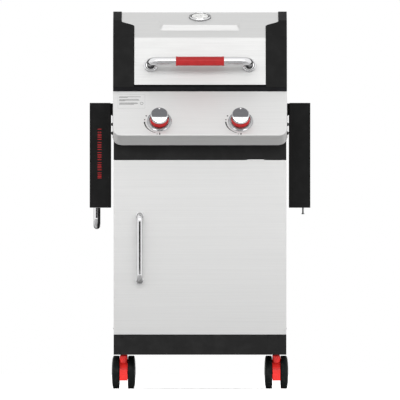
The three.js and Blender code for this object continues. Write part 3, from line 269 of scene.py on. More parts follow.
# ---------- mesh making ----------
def publish(name, bm, body, slot=None, material=None, stands_for=(), sharp=40):
    """Turns a bmesh into a piece that rides on a body, with the slot's material unless another is given."""
    bmesh.ops.remove_doubles(bm, verts=bm.verts, dist=TINY)
    bmesh.ops.recalc_face_normals(bm, faces=bm.faces)
    mesh = bpy.data.meshes.new(name)
    bm.to_mesh(mesh)
    bm.free()
    mesh.polygons.foreach_set("use_smooth", [True] * len(mesh.polygons))
    mesh.set_sharp_from_angle(angle=math.radians(sharp))
    mesh.materials.append(material or LOOKS[slot])
    made = bpy.data.objects.new(name, mesh)
    bpy.context.scene.collection.objects.link(made)
    made.modifiers.new("normals", "WEIGHTED_NORMAL").keep_sharp = True
    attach(made, body)
    if stands_for:
        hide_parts(*stands_for)
    return made


def remake(node, bm, **options):
    """A finer piece that stands for a CAD node, on its body and with its slot."""
    return publish(node + "_fine", bm, BODY_OF[node], SLOT_OF[node], stands_for=(node,), **options)


def joined(parts):
    """Several bmeshes as one."""
    whole = bmesh.new()
    for part in parts:
        carrier = bpy.data.meshes.new("carrier")
        part.to_mesh(carrier)
        part.free()
        whole.from_mesh(carrier)
        bpy.data.meshes.remove(carrier)
    return whole


def moved(bm, place):
    bm.transform(place)
    return bm


def at(x, y, z):
    return Matrix.Translation((x, y, z))


def turned(degrees, axis):
    return Matrix.Rotation(math.radians(degrees), 4, axis)


def in_mm(*points):
    """Flat points given in millimetres."""
    return [(x * MM, y * MM) for x, y in points]


def on_circle(radius, angle):
    return Vector((radius * math.cos(angle), radius * math.sin(angle)))


def disc(radius, height, base=0.0):
    """The lathe profile of a disc that stands on a height."""
    return [(0, base), (radius, base), (radius, base + height), (0, base + height)]


def ring(inner, outer, low, high):
    """The lathe profile of a ring with a rectangular section."""
    return [(inner, low), (outer, low), (outer, high), (inner, high), (inner, low)]


def filleted(points, radius, steps=5, closed=False):
    """A polyline with its corners rounded, each by no more than its sides leave room for."""
    points = [Vector(p) for p in points]
    count = len(points)
    rounded = []
    for i, corner in enumerate(points):
        if not closed and i in (0, count - 1):
            rounded.append(corner)
            continue
        before, after = points[i - 1] - corner, points[(i + 1) % count] - corner
        half = before.angle(after) / 2
        reach = min(radius / math.tan(half), 0.46 * before.length, 0.46 * after.length)
        start, stop = corner + before.normalized() * reach, corner + after.normalized() * reach
        for k in range(steps + 1):
            t = k / steps
            rounded.append(start * (1 - t) ** 2 + corner * 2 * t * (1 - t) + stop * t**2)
    return rounded


def lathe(profile, place=None, segments=64, fillet=0.0, steps=3):
    """A (radius, height) profile turned about +Z. It ends on the axis, or closes on itself."""
    loop = profile[0] == profile[-1]
    outline = profile[:-1] if loop else profile
    if fillet:
        outline = filleted(outline, fillet, steps, loop)
    bm = bmesh.new()
    rings = []
    for radius, height in outline:
        count = 1 if radius < TINY else segments
        turn = [2 * math.pi * i / segments for i in range(count)]
        rings.append([bm.verts.new((radius * math.cos(a), radius * math.sin(a), height)) for a in turn])
    for lower, upper in zip(rings, rings[1:] + rings[:1] if loop else rings[1:]):
        for i in range(segments):
            corners = [lower[i % len(lower)], lower[(i + 1) % len(lower)]]
            corners += [upper[(i + 1) % len(upper)], upper[i % len(upper)]]
            corners = list(dict.fromkeys(corners))
            if len(corners) > 2:
                bm.faces.new(corners)
    return moved(bm, place) if place else bm


def sweep(path, radius, sides=28):
    """A round bar along a path, with flat ends."""
    path = [Vector(p) for p in path]
    bm = bmesh.new()
    rings = []
    side = None
    for i, point in enumerate(path):
        along = (path[min(i + 1, len(path) - 1)] - path[max(i - 1, 0)]).normalized()
        side = (side - along * side.dot(along)).normalized() if side else along.orthogonal().normalized()
        up = along.cross(side)
        turn = [2 * math.pi * k / sides for k in range(sides)]
        rings.append([bm.verts.new(point + radius * (side * math.cos(a) + up * math.sin(a))) for a in turn])
    for lower, upper in zip(rings, rings[1:]):
        for k in range(sides):
            bm.faces.new((lower[k], lower[(k + 1) % sides], upper[(k + 1) % sides], upper[k]))
    bm.faces.new(rings[0][::-1])
    bm.faces.new(rings[-1])
    return bm


def slab(outline, depth, place=None, edge=0.0, steps=2):
    """A flat outline thickened along +Z, with its edges rounded."""
    bm = bmesh.new()
    face = bm.faces.new([bm.verts.new((p[0], p[1], 0)) for p in outline])
    made = bmesh.ops.extrude_face_region(bm, geom=[face])
    top = [v for v in made["geom"] if isinstance(v, bmesh.types.BMVert)]
    bmesh.ops.translate(bm, verts=top, vec=(0, 0, depth))
    if edge:
        flat = [e for e in bm.edges if abs(e.verts[0].co.z - e.verts[1].co.z) < TINY]
        bmesh.ops.bevel(bm, geom=flat, offset=edge, segments=steps, profile=0.5, affect="EDGES")
    return moved(bm, place) if place else bm


def rectangle(width, height, radius=0.0, steps=4):
    x, y = width / 2, height / 2
    corners = [(-x, -y), (x, -y), (x, y), (-x, y)]
    return filleted(corners, radius, steps, True) if radius else [Vector(c) for c in corners]


def grid(rows, wall=0.0):
    """A sheet through rows of points, thickened on its inner side."""
    bm = bmesh.new()
    verts = [[bm.verts.new(p) for p in row] for row in rows]
    for lower, upper in zip(verts, verts[1:]):
        for i in range(len(lower) - 1):
            bm.faces.new((lower[i], lower[i + 1], upper[i + 1], upper[i]))
    if wall:
        bmesh.ops.solidify(bm, geom=bm.faces[:], thickness=wall)
    return bm


def inward(outline):
    """Unit normals of an open line that point to the left of its run, in its own plane."""
    normals = []
    for i in range(len(outline)):
        along = (outline[min(i + 1, len(outline) - 1)] - outline[max(i - 1, 0)]).normalized()
        normals.append(Vector((-along.y, along.x)))
    return normals


def pressed(outline_at, depth, edge, wall, closed=True, field=None, steps=6):
    """A pressed tray: a face in the plane z = 0 with a rounded edge, and skirts that run back from it.
    outline_at(inset) gives the outline, anticlockwise. depth is a number or a function of a point.
    field is (border, drop) for a face that is sunk inside a border."""
    LEAST, FLAT = 0.3 * MM, 2 * MM

    def deep(point):
        return max(LEAST, depth(point) if callable(depth) else depth)

    outer = outline_at(0)
    levels = [(0, lambda p: -deep(p))]
    for k in range(steps + 1):
        a = math.pi / 2 * k / steps
        levels.append((edge * (1 - math.cos(a)), lambda p, a=a: -min(edge, deep(p)) * (1 - math.sin(a))))
    if field:
        border, drop = field
        levels += [(border, lambda p: 0), (border + drop, lambda p: -drop)]
    levels.append((levels[-1][0] + FLAT, levels[-1][1]))  # a ring inside the face keeps its shading flat
    bm = bmesh.new()
    rings = []
    for inset, height in levels:
        rings.append([bm.verts.new((*p, height(q))) for p, q in zip(outline_at(inset), outer)])
    count = len(outer) if closed else len(outer) - 1
    for lower, upper in zip(rings, rings[1:]):
        for i in range(count):
            j = (i + 1) % len(lower)
            bm.faces.new((lower[i], lower[j], upper[j], upper[i]))
    bm.faces.new(rings[-1])
    bmesh.ops.recalc_face_normals(bm, faces=bm.faces)
    bmesh.ops.solidify(bm, geom=bm.faces[:], thickness=wall)
    return bm


def box_outline(width, height, radius):
    """The outline_at of a rounded rectangle."""
    LEAST = 0.05 * MM
    return lambda inset: rectangle(width - 2 * inset, height - 2 * inset, max(radius - inset, LEAST), 5)


def refined(node, edge=0.6 * MM, corner=25, steps=2, **options):
    """A CAD node's own shape with its coplanar facets joined up and its corners rounded."""
    SEAM = 0.02 * MM
    bm = bmesh.new()
    bm.from_mesh(frame["nodes"][node].data)
    bmesh.ops.remove_doubles(bm, verts=bm.verts, dist=SEAM)
    bmesh.ops.dissolve_limit(bm, angle_limit=math.radians(1), verts=bm.verts, edges=bm.edges)
    corners = [e for e in bm.edges if e.is_manifold and e.calc_face_angle() > math.radians(corner)]
    rounding = {"offset": edge, "segments": steps, "profile": 0.5, "affect": "EDGES"}
    bmesh.ops.bevel(bm, geom=corners, clamp_overlap=True, **rounding)
    return remake(node, bm, **options)


def screw_head(radius, place):
    """A low domed screw head with a round socket."""
    shape = [(0, 0), (1, 0), (1, 0.25), (0.8, 0.55), (0.45, 0.66), (0.42, 0.66), (0.36, 0.3), (0, 0.3)]
    return lathe([(radius * r, radius * z) for r, z in shape], place, 24)


def hex_bolt(radius, place):
    """A hexagon head on its washer."""
    thick = radius * 0.22
    washer = lathe(disc(radius * 1.3, thick), segments=32)
    corners = [on_circle(radius, math.radians(60 * i)) for i in range(6)]
    head = slab(corners, radius * 0.75, at(0, 0, thick), radius * 0.1)
    return moved(joined([washer, head]), place)


FACING_FRONT = turned(90, "X")  # +Z of a piece to the front, its +Y upwards
FACING_REAR = turned(-90, "X")


def facing_side(side):
    """+Z of a piece to the left or the right."""
    return turned(90 * side, "Y")


# ---------- lid ----------
FRONT_HEIGHT, FRONT_LEAN = 144 * MM, 32 * MM  # the straight front face, and how far its top leans back
BROW_HEIGHT, BROW_BACK = 195 * MM, 83 * MM
SHALLOW = 75 * MM  # depth of the shallow facet behind the brow
FOLD, FOLD_STEPS = 10 * MM, 6  # radius of the folds
PLATEAU_RISE = 1.8 * MM
HANDLE_TUBE, HANDLE_FOOT = 12.3 * MM, 20.8 * MM  # radii
HANDLE_HEIGHT = FRONT_HEIGHT * 0.4


def lid_line():
    """(y, z) of the lid skin's outside, from its front edge over the top to its rear edge."""
    low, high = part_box("lid_skin")
    rear = high.y - 4 * MM
    drop = high.z - low.z
    return [
        Vector((low.y, low.z)),
        Vector((low.y + FRONT_LEAN, low.z + FRONT_HEIGHT)),
        Vector((low.y + BROW_BACK, low.z + BROW_HEIGHT)),
        Vector((low.y + BROW_BACK + SHALLOW, high.z)),
        Vector((rear - 145 * MM, high.z)),
        Vector((rear - 58 * MM, high.z - 0.2 * drop)),
        Vector((rear - 4 * MM, high.z - 0.6 * drop)),
        Vector((high.y, low.z + 8 * MM)),
    ]


LID_LINE = lid_line()
BROW = LID_LINE[2]  # the bend where the thermometer's shallow facet begins
BROW_SLOPE = math.atan2(LID_LINE[3].y - BROW.y, LID_LINE[3].x - BROW.x)
LID_LEAN = math.atan2(FRONT_LEAN, FRONT_HEIGHT)


def lid_rows(points, coarse, fine, start, stop):
    """More points along a line: finely spaced on its upper side, between two y values."""
    UPPER = BROW.y - 60 * MM
    rows = [points[0]]
    for a, b in zip(points, points[1:]):
        step = fine if start <= (a.x + b.x) / 2 <= stop and a.y > UPPER else coarse
        count = max(1, math.ceil((b - a).length / step))
        rows += [a.lerp(b, k / count) for k in range(1, count + 1)]
    return rows


def ease(value, start, stop):
    t = min(1.0, max(0.0, (value - start) / (stop - start)))
    return t * t * (3 - 2 * t)


def make_lid_skin():
    """The folded skin with the raised, splayed plateau pressed into its brow."""
    FRONT_HALF, REAR_HALF, WALL = 117 * MM, 150 * MM, 4 * MM
    VISOR_DEPTH, VISOR_DROP, PLATEAU_DEPTH = 28 * MM, 14.5 * MM, 67 * MM
    COARSE, FINE, MARGIN = 9 * MM, 0.8 * MM, 12 * MM
    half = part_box("lid_skin")[1].x
    front, rear = BROW.x - VISOR_DEPTH, BROW.x + PLATEAU_DEPTH
    line = filleted(LID_LINE, FOLD, FOLD_STEPS)
    rows = lid_rows(line, COARSE, FINE, front - MARGIN, rear + MARGIN)
    share = [-1, -0.985, -0.9, -0.75, -0.65, -0.58]
    share += [-0.5 + 0.006 * k for k in range(-6, 7)]
    share += [-0.38, -0.28, -0.18, -0.08]
    share = share + [-s for s in reversed(share)]

    def column(u, y):
        edge = FRONT_HALF + (REAR_HALF - FRONT_HALF) * min(1, max(0, (y - front) / (rear - front)))
        inside = min(abs(u), 0.5) / 0.5 * edge
        return math.copysign(inside + max(0, abs(u) - 0.5) / 0.5 * (half - edge), u)

    def raised(u, y, z):
        slope = math.tan(BROW_SLOPE) if y > BROW.x else VISOR_DROP / VISOR_DEPTH
        plateau = BROW.y + (y - BROW.x) * slope + PLATEAU_RISE
        inside = ease(y, front - WALL / 2, front + WALL / 2) * (1 - ease(y, rear - 2 * WALL, rear + WALL))
        inside *= 1 - ease(abs(u), 0.475, 0.525)
        return z + inside * max(0.0, plateau - z)

    sheet = [[(column(u, p.x), p.x, raised(u, p.x, p.y)) for u in share] for p in rows]
    for across in sheet:
        across[0] = (-half, *across[0][1:])
        across[-1] = (half, *across[-1][1:])
    # The skin wears the darker copy of the stainless: painted shade.
    remake("lid_skin", grid(sheet, SHEET), sharp=60, material=STEEL_PAINTED_SHADE)


def make_lid_cap(name, side):
    """Cast end cap: a band on the skin, wide in front and narrow over the top, rounded into a side wall."""
    WIDE, NARROW, PROUD, EDGE, LIP = 65.5 * MM, 26.5 * MM, 2.6 * MM, 1.6 * MM, 0.8 * MM
    STEP_LOW, STEP_HIGH = BROW.y - 17 * MM, BROW.y - 2 * MM  # the band narrows between these heights
    SEAT, SIDE, WALL, PITCH, ARC = 0.3 * MM, 4 * MM, 1.8 * MM, 3 * MM, 5
    low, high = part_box(f"lid_cap_{name}")
    outer = max(abs(low.x), abs(high.x))
    line = filleted(LID_LINE, FOLD, FOLD_STEPS)
    line[0] = Vector((line[0].x - 0.1 * MM, low.z + 0.8 * MM))  # both ends stay inside the cap's box
    line[-1] = Vector((line[-1].x + 0.5 * MM, low.z + 6 * MM))
    rows = []
    for a, b in zip(line, line[1:]):
        count = max(1, math.ceil((b - a).length / PITCH))
        rows += [a.lerp(b, k / count) for k in range(count)]
    rows.append(line[-1])
    sheet = []
    for p, out in zip(rows, inward(rows)):
        behind = p.x > BROW.x
        band = NARROW if behind else NARROW + (WIDE - NARROW) * (1 - ease(p.y, STEP_LOW, STEP_HIGH))
        inner = outer - band
        top = p + out * PROUD
        row = [(side * inner, *(p + out * SEAT)), (side * inner, *(p + out * (PROUD - LIP)))]
        row += [(side * (inner + LIP), *top), (side * (outer - EDGE), *top)]
        for k in range(1, ARC + 1):
            a = math.pi / 2 * k / ARC
            x = outer - EDGE * (1 - math.sin(a))
            row.append((side * x, *(top - out * EDGE * (1 - math.cos(a)))))
        row.append((side * outer, *(top - out * (EDGE + SIDE))))
        sheet.append(row)
    bm = grid(sheet)
    rim = [v for v in bm.verts if abs(abs(v.co.x) - outer) < TINY]
    found = []
    for row in sheet:
        point = Vector(row[-1])
        found.append(min(rim, key=lambda v: (v.co - point).length_squared))
    bm.faces.new(found)
    bmesh.ops.recalc_face_normals(bm, faces=bm.faces)
    bmesh.ops.solidify(bm, geom=bm.faces[:], thickness=WALL)
    remake(f"lid_cap_{name}", joined([bm, hinge_ear(name, side, outer)]), sharp=50)


def hinge_ear(name, side, outer):
    """The cap's round ear on its hinge pin."""
    RADIUS, WIDTH, EDGE, PIN_INSET = 9 * MM, 5 * MM, 0.8 * MM, 8 * MM
    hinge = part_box(f"lid_hinge_{name}")[1]
    pivot = at(side * (outer - WIDTH / 2), hinge.y - PIN_INSET, hinge.z - PIN_INSET)
    return lathe(disc(RADIUS, WIDTH, -WIDTH / 2), pivot @ turned(90, "Y"), 48, EDGE)


def on_lid_front(x, height):
    """Places a piece that stands along +Z on the lid's front face, with its +Y up the slope."""
    foot = LID_LINE[0]
    z = foot.y + height
    return at(x, foot.x + height * math.tan(LID_LEAN), z) @ Matrix.Rotation(math.pi / 2 - LID_LEAN, 4, "X")


def rosette(radius, tall, place):
    """Stepped round foot of a handle."""
    shape = [(0, 0), (1, 0), (1, 0.28), (0.9, 0.42), (0.8, 0.5), (0.72, 0.85), (0.66, 1), (0, 1)]
    return lathe([(radius * r, tall * z) for r, z in shape], place, 64, tall * 0.1)


def u_path(span, reach, bend):
    """Two legs that rise along +Z and a bar between them along X."""
    half = span / 2
    return filleted([(-half, 0, 0), (-half, 0, reach), (half, 0, reach), (half, 0, 0)], bend, 14)


def make_lid_handle():
    """Bent tube on two round feet, with a grip round its middle."""
    REACH, BEND, FOOT_TALL = 60 * MM, 34 * MM, 11 * MM
    COLLAR, GRIP = 14.5 * MM, 14.1 * MM  # the grip's radii: at its ends and between them
    low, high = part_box("lid_handle")
    span = high.x - low.x - 2 * HANDLE_FOOT
    place = on_lid_front(0, HANDLE_HEIGHT)
    bar = moved(sweep(u_path(span, REACH, BEND), HANDLE_TUBE, 40), place)
    feet = [rosette(HANDLE_FOOT, FOOT_TALL, on_lid_front(s * span / 2, HANDLE_HEIGHT)) for s in (-1, 1)]
    remake("lid_handle", joined([bar, *feet]))
    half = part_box("lid_grip")[1].x
    end = [(HANDLE_TUBE, half), (COLLAR - 0.4 * MM, half), (COLLAR, half - MM)]
    end += [(COLLAR, half - 5 * MM), (GRIP, half - 6 * MM)]
    profile = [(r, -z) for r, z in end] + end[::-1] + [(HANDLE_TUBE, -half)]
    remake("lid_grip", lathe(profile, place @ at(0, 0, REACH) @ turned(90, "Y"), 72, 0.4 * MM))


def on_brow():
    """Places a piece that stands along +Z in the middle of the thermometer."""
    SETBACK = 26 * MM
    z = BROW.y + SETBACK * math.tan(BROW_SLOPE) + PLATEAU_RISE
    return at(0, BROW.x + SETBACK, z) @ Matrix.Rotation(BROW_SLOPE, 4, "X")


def make_thermometer():
    """Chrome case with a stepped bezel on a flat seat, a printed dial behind a gasket, and a glass. The
    seat's darker plating is painted shade: it stands for the contact shade round the case's foot.
    """
    TALL, DIAL, GLASS, SEAT, BORDER = 6.4, 4.2, 4.4, 1.1, 6.2  # mm; all but the last are heights
    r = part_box("thermometer_case")[1].x
    edge = r - BORDER * MM
    place = on_brow()
    stem = in_mm((0, -62), (1.8, -61), (2.5, -58), (2.5, -18), (7, -16), (7, SEAT))
    bezel = [(1.5, SEAT), (0, 1.9), (0, TALL - 2), (1.2, TALL), (3, TALL), (4.6, TALL - 0.8)]
    bezel.append((5.6, DIAL - 0.4))
    case = stem + [(r - inset * MM, z * MM) for inset, z in bezel] + [(0, (DIAL - 0.4) * MM)]
    remake("thermometer_case", lathe(case, place, 96, 0.4 * MM))
    remake("thermometer_dial", lathe(disc(edge, 0.2 * MM, (DIAL - 0.2) * MM), place, 96))
    make_dial_marks(place @ at(0, 0, DIAL * MM), edge)
    seal = [(-0.9, DIAL), (0.5, DIAL), (0.5, TALL - 1), (-0.2, TALL - 1), (-0.9, DIAL)]
    seal = lathe([(edge + out * MM, z * MM) for out, z in seal], place, 96)
    publish("thermometer_gasket", seal, "lid", "black_plastic")
    # Darker plating on the seat ring: painted shade round the foot of the case.
    seat = lathe(ring(r - 3 * MM, r + 0.9 * MM, 0, SEAT * MM), place, 96, 0.2 * MM)
    publish("thermometer_seat_painted_shade", seat, "lid", "chrome", BEZEL_PLATE)
    rim = edge - MM
    pane = [(0, GLASS * MM), (rim, GLASS * MM), (rim, (GLASS + 0.4) * MM), (0, (GLASS + 0.7) * MM)]
    publish("thermometer_glass", lathe(pane, place, 96), "lid", material=GLASS_PANE)


def make_dial_marks(place, edge):
    """Printed ticks with an arc along them, and the needle on its arbor."""
    TICKS, START, SWEEP, NEEDLE_TURN = 25, 210, 240, 200
    LONG, SHORT, THICK, INK_HEIGHT = 4 * MM, 2.4 * MM, 0.7 * MM, 0.1 * MM
    TICK_INSET, ARC_INNER, ARC_OUTER = 2.6 * MM, 1.9 * MM, 1 * MM  # in from the dial's edge
    turns = [START - SWEEP * k / (TICKS - 1) for k in range(TICKS)]
    marks = []
    for k, turn in enumerate(turns):
        length = SHORT if k % 4 else LONG
        spot = place @ turned(turn, "Z") @ at(edge - TICK_INSET - length / 2, 0, 0)
        marks.append(slab(rectangle(length, THICK), INK_HEIGHT, spot))
    for start, stop in zip(turns, turns[1:]):
        corners = [(ARC_INNER, start), (ARC_OUTER, start), (ARC_OUTER, stop), (ARC_INNER, stop)]
        outline = [on_circle(edge - inset, math.radians(turn)) for inset, turn in corners]
        marks.append(slab(outline, INK_HEIGHT, place))
    needle = [Vector(p) for p in in_mm((-6, -1.1), (18, -0.3), (18, 0.3), (-6, 1.1))]
    marks.append(slab(needle, 0.05 * MM, place @ turned(NEEDLE_TURN, "Z") @ at(0, 0, INK_HEIGHT)))
    marks.append(lathe(in_mm((0, 0), (2.2, 0), (2, 0.12), (0, 0.18)), place, 24))
    publish("thermometer_marks", joined(marks), "lid", material=PALE_INK)


# ---------- control panel and knobs ----------
PANEL_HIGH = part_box("control_panel")[1]
PANEL = at(0, PANEL_HIGH.y, PANEL_HIGH.z) @ Matrix.Rotation(math.pi / 2 - TILT, 4, "X")
PANEL_LENGTH = 172 * MM
KNOB_DROP = 117 * MM  # from the panel's top edge down its face
STEM_BORE = 4.3 * MM


def make_control_panel():
    """Tilted face with rounded lower corners. Its skirt fades out towards the top edge."""
    CORNER, SKIRT, EDGE, PITCH = 32 * MM, 48 * MM, 3.2 * MM, 12 * MM
    half = PANEL_HIGH.x
    corners = [(-half, 0), (-half, -PANEL_LENGTH), (half, -PANEL_LENGTH), (half, 0)]
    outline = filleted(corners, CORNER, 16)
    sides = []
    for a, b in zip(outline, outline[1:]):
        count = max(1, math.ceil((b - a).length / PITCH))
        sides += [a.lerp(b, k / count) for k in range(count)]
    sides.append(outline[-1])
    normals = inward(sides)
    normals[0], normals[-1] = Vector((1, 0)), Vector((-1, 0))

    def skirt(point):
        return min(SKIRT, -point.y * math.tan(TILT))

    def outline_at(inset):
        return [p + n * inset for p, n in zip(sides, normals)]

    panel = pressed(outline_at, skirt, EDGE, SHEET, closed=False)
    remake("control_panel", moved(panel, PANEL), sharp=50)


def knob_place(side):
    """Places a piece that stands along +Z from the panel's face at the middle of a knob."""
    return PANEL @ at(side * abs(middle("knob_cap_left").x), -KNOB_DROP, 0)


def make_knob(name, side):
    """Bezel ring, red skirt and cap of one knob, and the scale printed round it."""
    BEZEL, BORE, SKIRT = 38.5 * MM, 31 * MM, 28.5 * MM  # radii
    LOW, HIGH = 5.5 * MM, 17.9 * MM  # ends of the red skirt
    place = knob_place(side)
    bezel = in_mm((0, 0.3), (-0.4, 1.6), (-3, 3), (-4.2, 4.8))
    bezel = [(BORE, 0.3 * MM)] + [(BEZEL + out, z) for out, z in bezel]
    bezel += [(BORE + 0.8 * MM, 5 * MM), (BORE, 4.2 * MM), (BORE, 0.3 * MM)]
    remake(f"bezel_{name}", lathe(bezel, place, 96, 0.4 * MM), material=BEZEL_PLATE)
    skirt = [(STEM_BORE, LOW), (SKIRT, LOW), (SKIRT, 12 * MM), (SKIRT - 1.6 * MM, 16.6 * MM)]
    skirt += [(SKIRT - 3 * MM, HIGH), (STEM_BORE, HIGH), (STEM_BORE, LOW)]
    remake(f"knob_skirt_{name}", lathe(skirt, place, 96, 0.6 * MM))
    make_knob_cap(name, place)
    make_panel_scale(name, side)


def make_knob_cap(name, place):
    """Turned cap with fine flutes round its wall. Its face slopes away below a chord, and on the flat part
    above the chord lies a dark brushed disc: a painted reflection of the dark surroundings that a chrome
    face mirrors."""
    LOW, TOP, RADIUS, FLUTES, FLUTE_DEPTH = 18.3 * MM, 37.5 * MM, 27 * MM, 60, 0.3 * MM
    CHORD, CUT, DARK_FACE_RADIUS, SOCKET = -11 * MM, math.tan(math.radians(24)), 24.6 * MM, 4 * MM
    FACE, SLOPED = TOP - 0.8 * MM, TOP - 8 * MM  # the flat face, and where the points that can slope begin
    profile = [(0, LOW + SOCKET), (STEM_BORE, LOW + SOCKET), (STEM_BORE, LOW), (RADIUS - 2 * MM, LOW)]
    profile += [(RADIUS, LOW + 3 * MM), (RADIUS, TOP - 3 * MM), (RADIUS - 1.6 * MM, TOP - 0.9 * MM)]
    profile += [(r * MM, FACE) for r in (24.8, 22, 18, 14, 10, 6, 3, 0)]
    cap = lathe(profile, None, FLUTES * 4, 1 * MM, 3)
    for v in cap.verts:
        radius = math.hypot(v.co.x, v.co.y)
        if v.co.z > SLOPED:
            v.co.z = min(v.co.z, FACE + (v.co.y - CHORD) * CUT) if v.co.y < CHORD else v.co.z
        elif radius > RADIUS - 3 * MM and v.co.z > LOW + 2 * MM:
            depth = FLUTE_DEPTH * (1 - math.cos(FLUTES * math.atan2(v.co.y, v.co.x))) / 2
            v.co.x *= (radius - depth) / radius
            v.co.y *= (radius - depth) / radius
    remake(f"knob_cap_{name}", moved(cap, place), sharp=30)
    reach = math.acos(CHORD / DARK_FACE_RADIUS)
    steps = 48
    outline = [on_circle(DARK_FACE_RADIUS, math.pi / 2 - reach + 2 * reach * k / steps) for k in range(steps + 1)]
    body = BODY_OF[f"knob_cap_{name}"]
    # A dark disc on the cap's face: painted reflection of dark surroundings in the chrome.
    dark_face = slab(outline, 0.5 * MM, place @ at(0, 0, TOP - 0.85 * MM), 0.2 * MM)
    publish(f"knob_face_{name}", dark_face, body, material=DARK_REFLECTION_STEEL)
    pin = in_mm((0, 0), (2.6, 0), (2.6, 0.6), (1.7, 0.7), (1.5, 0.4), (0, 0.4))
    spot = place @ at(0, DARK_FACE_RADIUS - 4 * MM, TOP)
    publish(f"knob_mark_{name}", lathe(pin, spot @ at(0, 0, -0.5 * MM), 32), body, "chrome")
    dot = lathe(in_mm((0, 0), (1.4, 0), (1.2, 0.2), (0, 0.25)), spot @ at(0, 0, -0.1 * MM), 24)
    publish(f"knob_dot_{name}", dot, body, material=LOOKS["dial_white"])


def make_panel_scale(name, side):
    """Printed heat scale: a taper from nine o'clock to six, two dots before it and two drops after it."""
    RADIUS, THICK, THIN, INK_HEIGHT, STEPS = 45.6 * MM, 4.4 * MM, 1 * MM, 0.12 * MM, 40
    START, STOP, DROP_STEPS = 182, 255, 28
    place = knob_place(side)
    inner, outer = [], []
    for k in range(STEPS + 1):
        angle = math.radians(START + (STOP - START) * k / STEPS)
        width = THICK + (THIN - THICK) * k / STEPS
        inner.append(on_circle(RADIUS - width / 2, angle))
        outer.append(on_circle(RADIUS + width / 2, angle))
    marks = [slab(outer + inner[::-1], INK_HEIGHT, place)]
    for degrees, size in ((172, 2.1 * MM), (152, 2.3 * MM)):
        marks.append(lathe(disc(size, INK_HEIGHT), place @ turned(degrees, "Z") @ at(RADIUS, 0, 0), 24))
    publish(f"panel_scale_{name}", joined(marks), "cart", material=BLACK_INK_AND_HOLE_SHADE)
    drop = []
    for k in range(DROP_STEPS):
        a = 2 * math.pi * k / DROP_STEPS
        swell = math.sin(a / 2) ** 1.6
        drop.append(Vector((3.4 * MM * math.sin(a) * swell, -4.2 * MM * math.cos(a))))
    place = place @ at(1 * MM, -RADIUS - 2 * MM, 0) @ turned(180, "Z")
    flame = [slab(drop, INK_HEIGHT, place)]
    flame.append(slab([p * 0.5 for p in drop], INK_HEIGHT, place @ at(8 * MM, 1 * MM, 0)))
    publish(f"panel_flame_{name}", joined(flame), "cart", material=INK)


def make_rating_plate():
    """Blank plate: a thin printed frame, with plain bars where the real one has small print."""
    WIDE, TALL, LINE, INK_HEIGHT = 83 * MM, 54 * MM, 0.7 * MM, 0.1 * MM
    LEFT, TOP = 15 * MM, 12 * MM  # from the panel's side and its top edge
    BAR, BORDER = 1.2 * MM, 4 * MM
    # Each bar's height above the plate's middle and its length, mm
    BARS = ((18, 66), (15.2, 26), (7.5, 60), (4.5, 62), (2, 18), (-6, 56), (-8.6, 58), (-12, 46))
    centre = PANEL @ at(-PANEL_HIGH.x + LEFT + WIDE / 2, -TOP - TALL / 2, 0)
    lines = [slab(rectangle(WIDE, LINE), INK_HEIGHT, centre @ at(0, s * TALL / 2, 0)) for s in (1, -1)]
    lines += [slab(rectangle(LINE, TALL), INK_HEIGHT, centre @ at(s * WIDE / 2, 0, 0)) for s in (-1, 1)]
    publish("rating_frame", joined(lines), "cart", material=PALE_INK)
    marks = []
    for height, length in in_mm(*BARS):
        spot = centre @ at(BORDER + length / 2 - WIDE / 2, height, 0)
        marks.append(slab(rectangle(length, BAR), INK_HEIGHT, spot))
    stamp = centre @ at(WIDE / 2 - 10 * MM, -8 * MM, 0)
    marks.append(lathe(ring(4 * MM, 5 * MM, 0, INK_HEIGHT), stamp, 32))
    publish("rating_bars", joined(marks), "cart", material=INK)


# ---------- door ----------
DOOR_FOOT = 11.7 * MM  # radius of the handle's feet


def make_door():
    """Folded skin, and an upright bar handle on two round feet."""
    CORNER, WALL = 1.4 * MM, 1.1 * MM
    TUBE, REACH, BEND, FOOT_TALL = 8.5 * MM, 39 * MM, 28 * MM, 6 * MM
    low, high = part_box("door_skin")
    outline = box_outline(high.x - low.x, high.z - low.z, CORNER)
    place = at((low.x + high.x) / 2, low.y, (low.z + high.z) / 2) @ FACING_FRONT
    skin = pressed(outline, high.y - low.y, 1.2 * MM, WALL)
    # The door skin wears the lighter copy of the stainless: painted light.
    remake("door_skin", moved(skin, place), material=STEEL_PAINTED_LIGHT, sharp=50)
    handle_low, handle_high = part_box("door_handle")
    span = handle_high.z - handle_low.z - 2 * DOOR_FOOT
    place = at(middle("door_handle").x, low.y, middle("door_handle").z) @ FACING_FRONT @ turned(90, "Z")
    bar = moved(sweep(u_path(span, REACH, BEND), TUBE, 36), place)
    feet = [rosette(DOOR_FOOT, FOOT_TALL, place @ at(s * span / 2, 0, 0)) for s in (-1, 1)]
    remake("door_handle", joined([bar, *feet]))


# ---------- side shelves ----------
def make_shelf_trim(name, end):
    """Pressed trim with a sunk field. The left front one has a row of plain red strokes down it."""
    CORNER, EDGE, WALL, FIELD = 2 * MM, 1.2 * MM, 2.2 * MM, (5 * MM, 0.7 * MM)
    node = f"shelf_trim_{end}_{name}"
    low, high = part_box(node)
    outline = box_outline(high.x - low.x, high.z - low.z, CORNER)
    outer = low.y if end == "front" else high.y
    facing = FACING_FRONT if end == "front" else FACING_REAR
    place = at((low.x + high.x) / 2, outer, (low.z + high.z) / 2) @ facing
    trim = pressed(outline, high.y - low.y, EDGE, WALL, field=FIELD)
    remake(node, moved(trim, place), sharp=50)
    if (name, end) == ("left", "front"):
        make_accent(place @ at(-2 * MM, 0, -FIELD[1]))


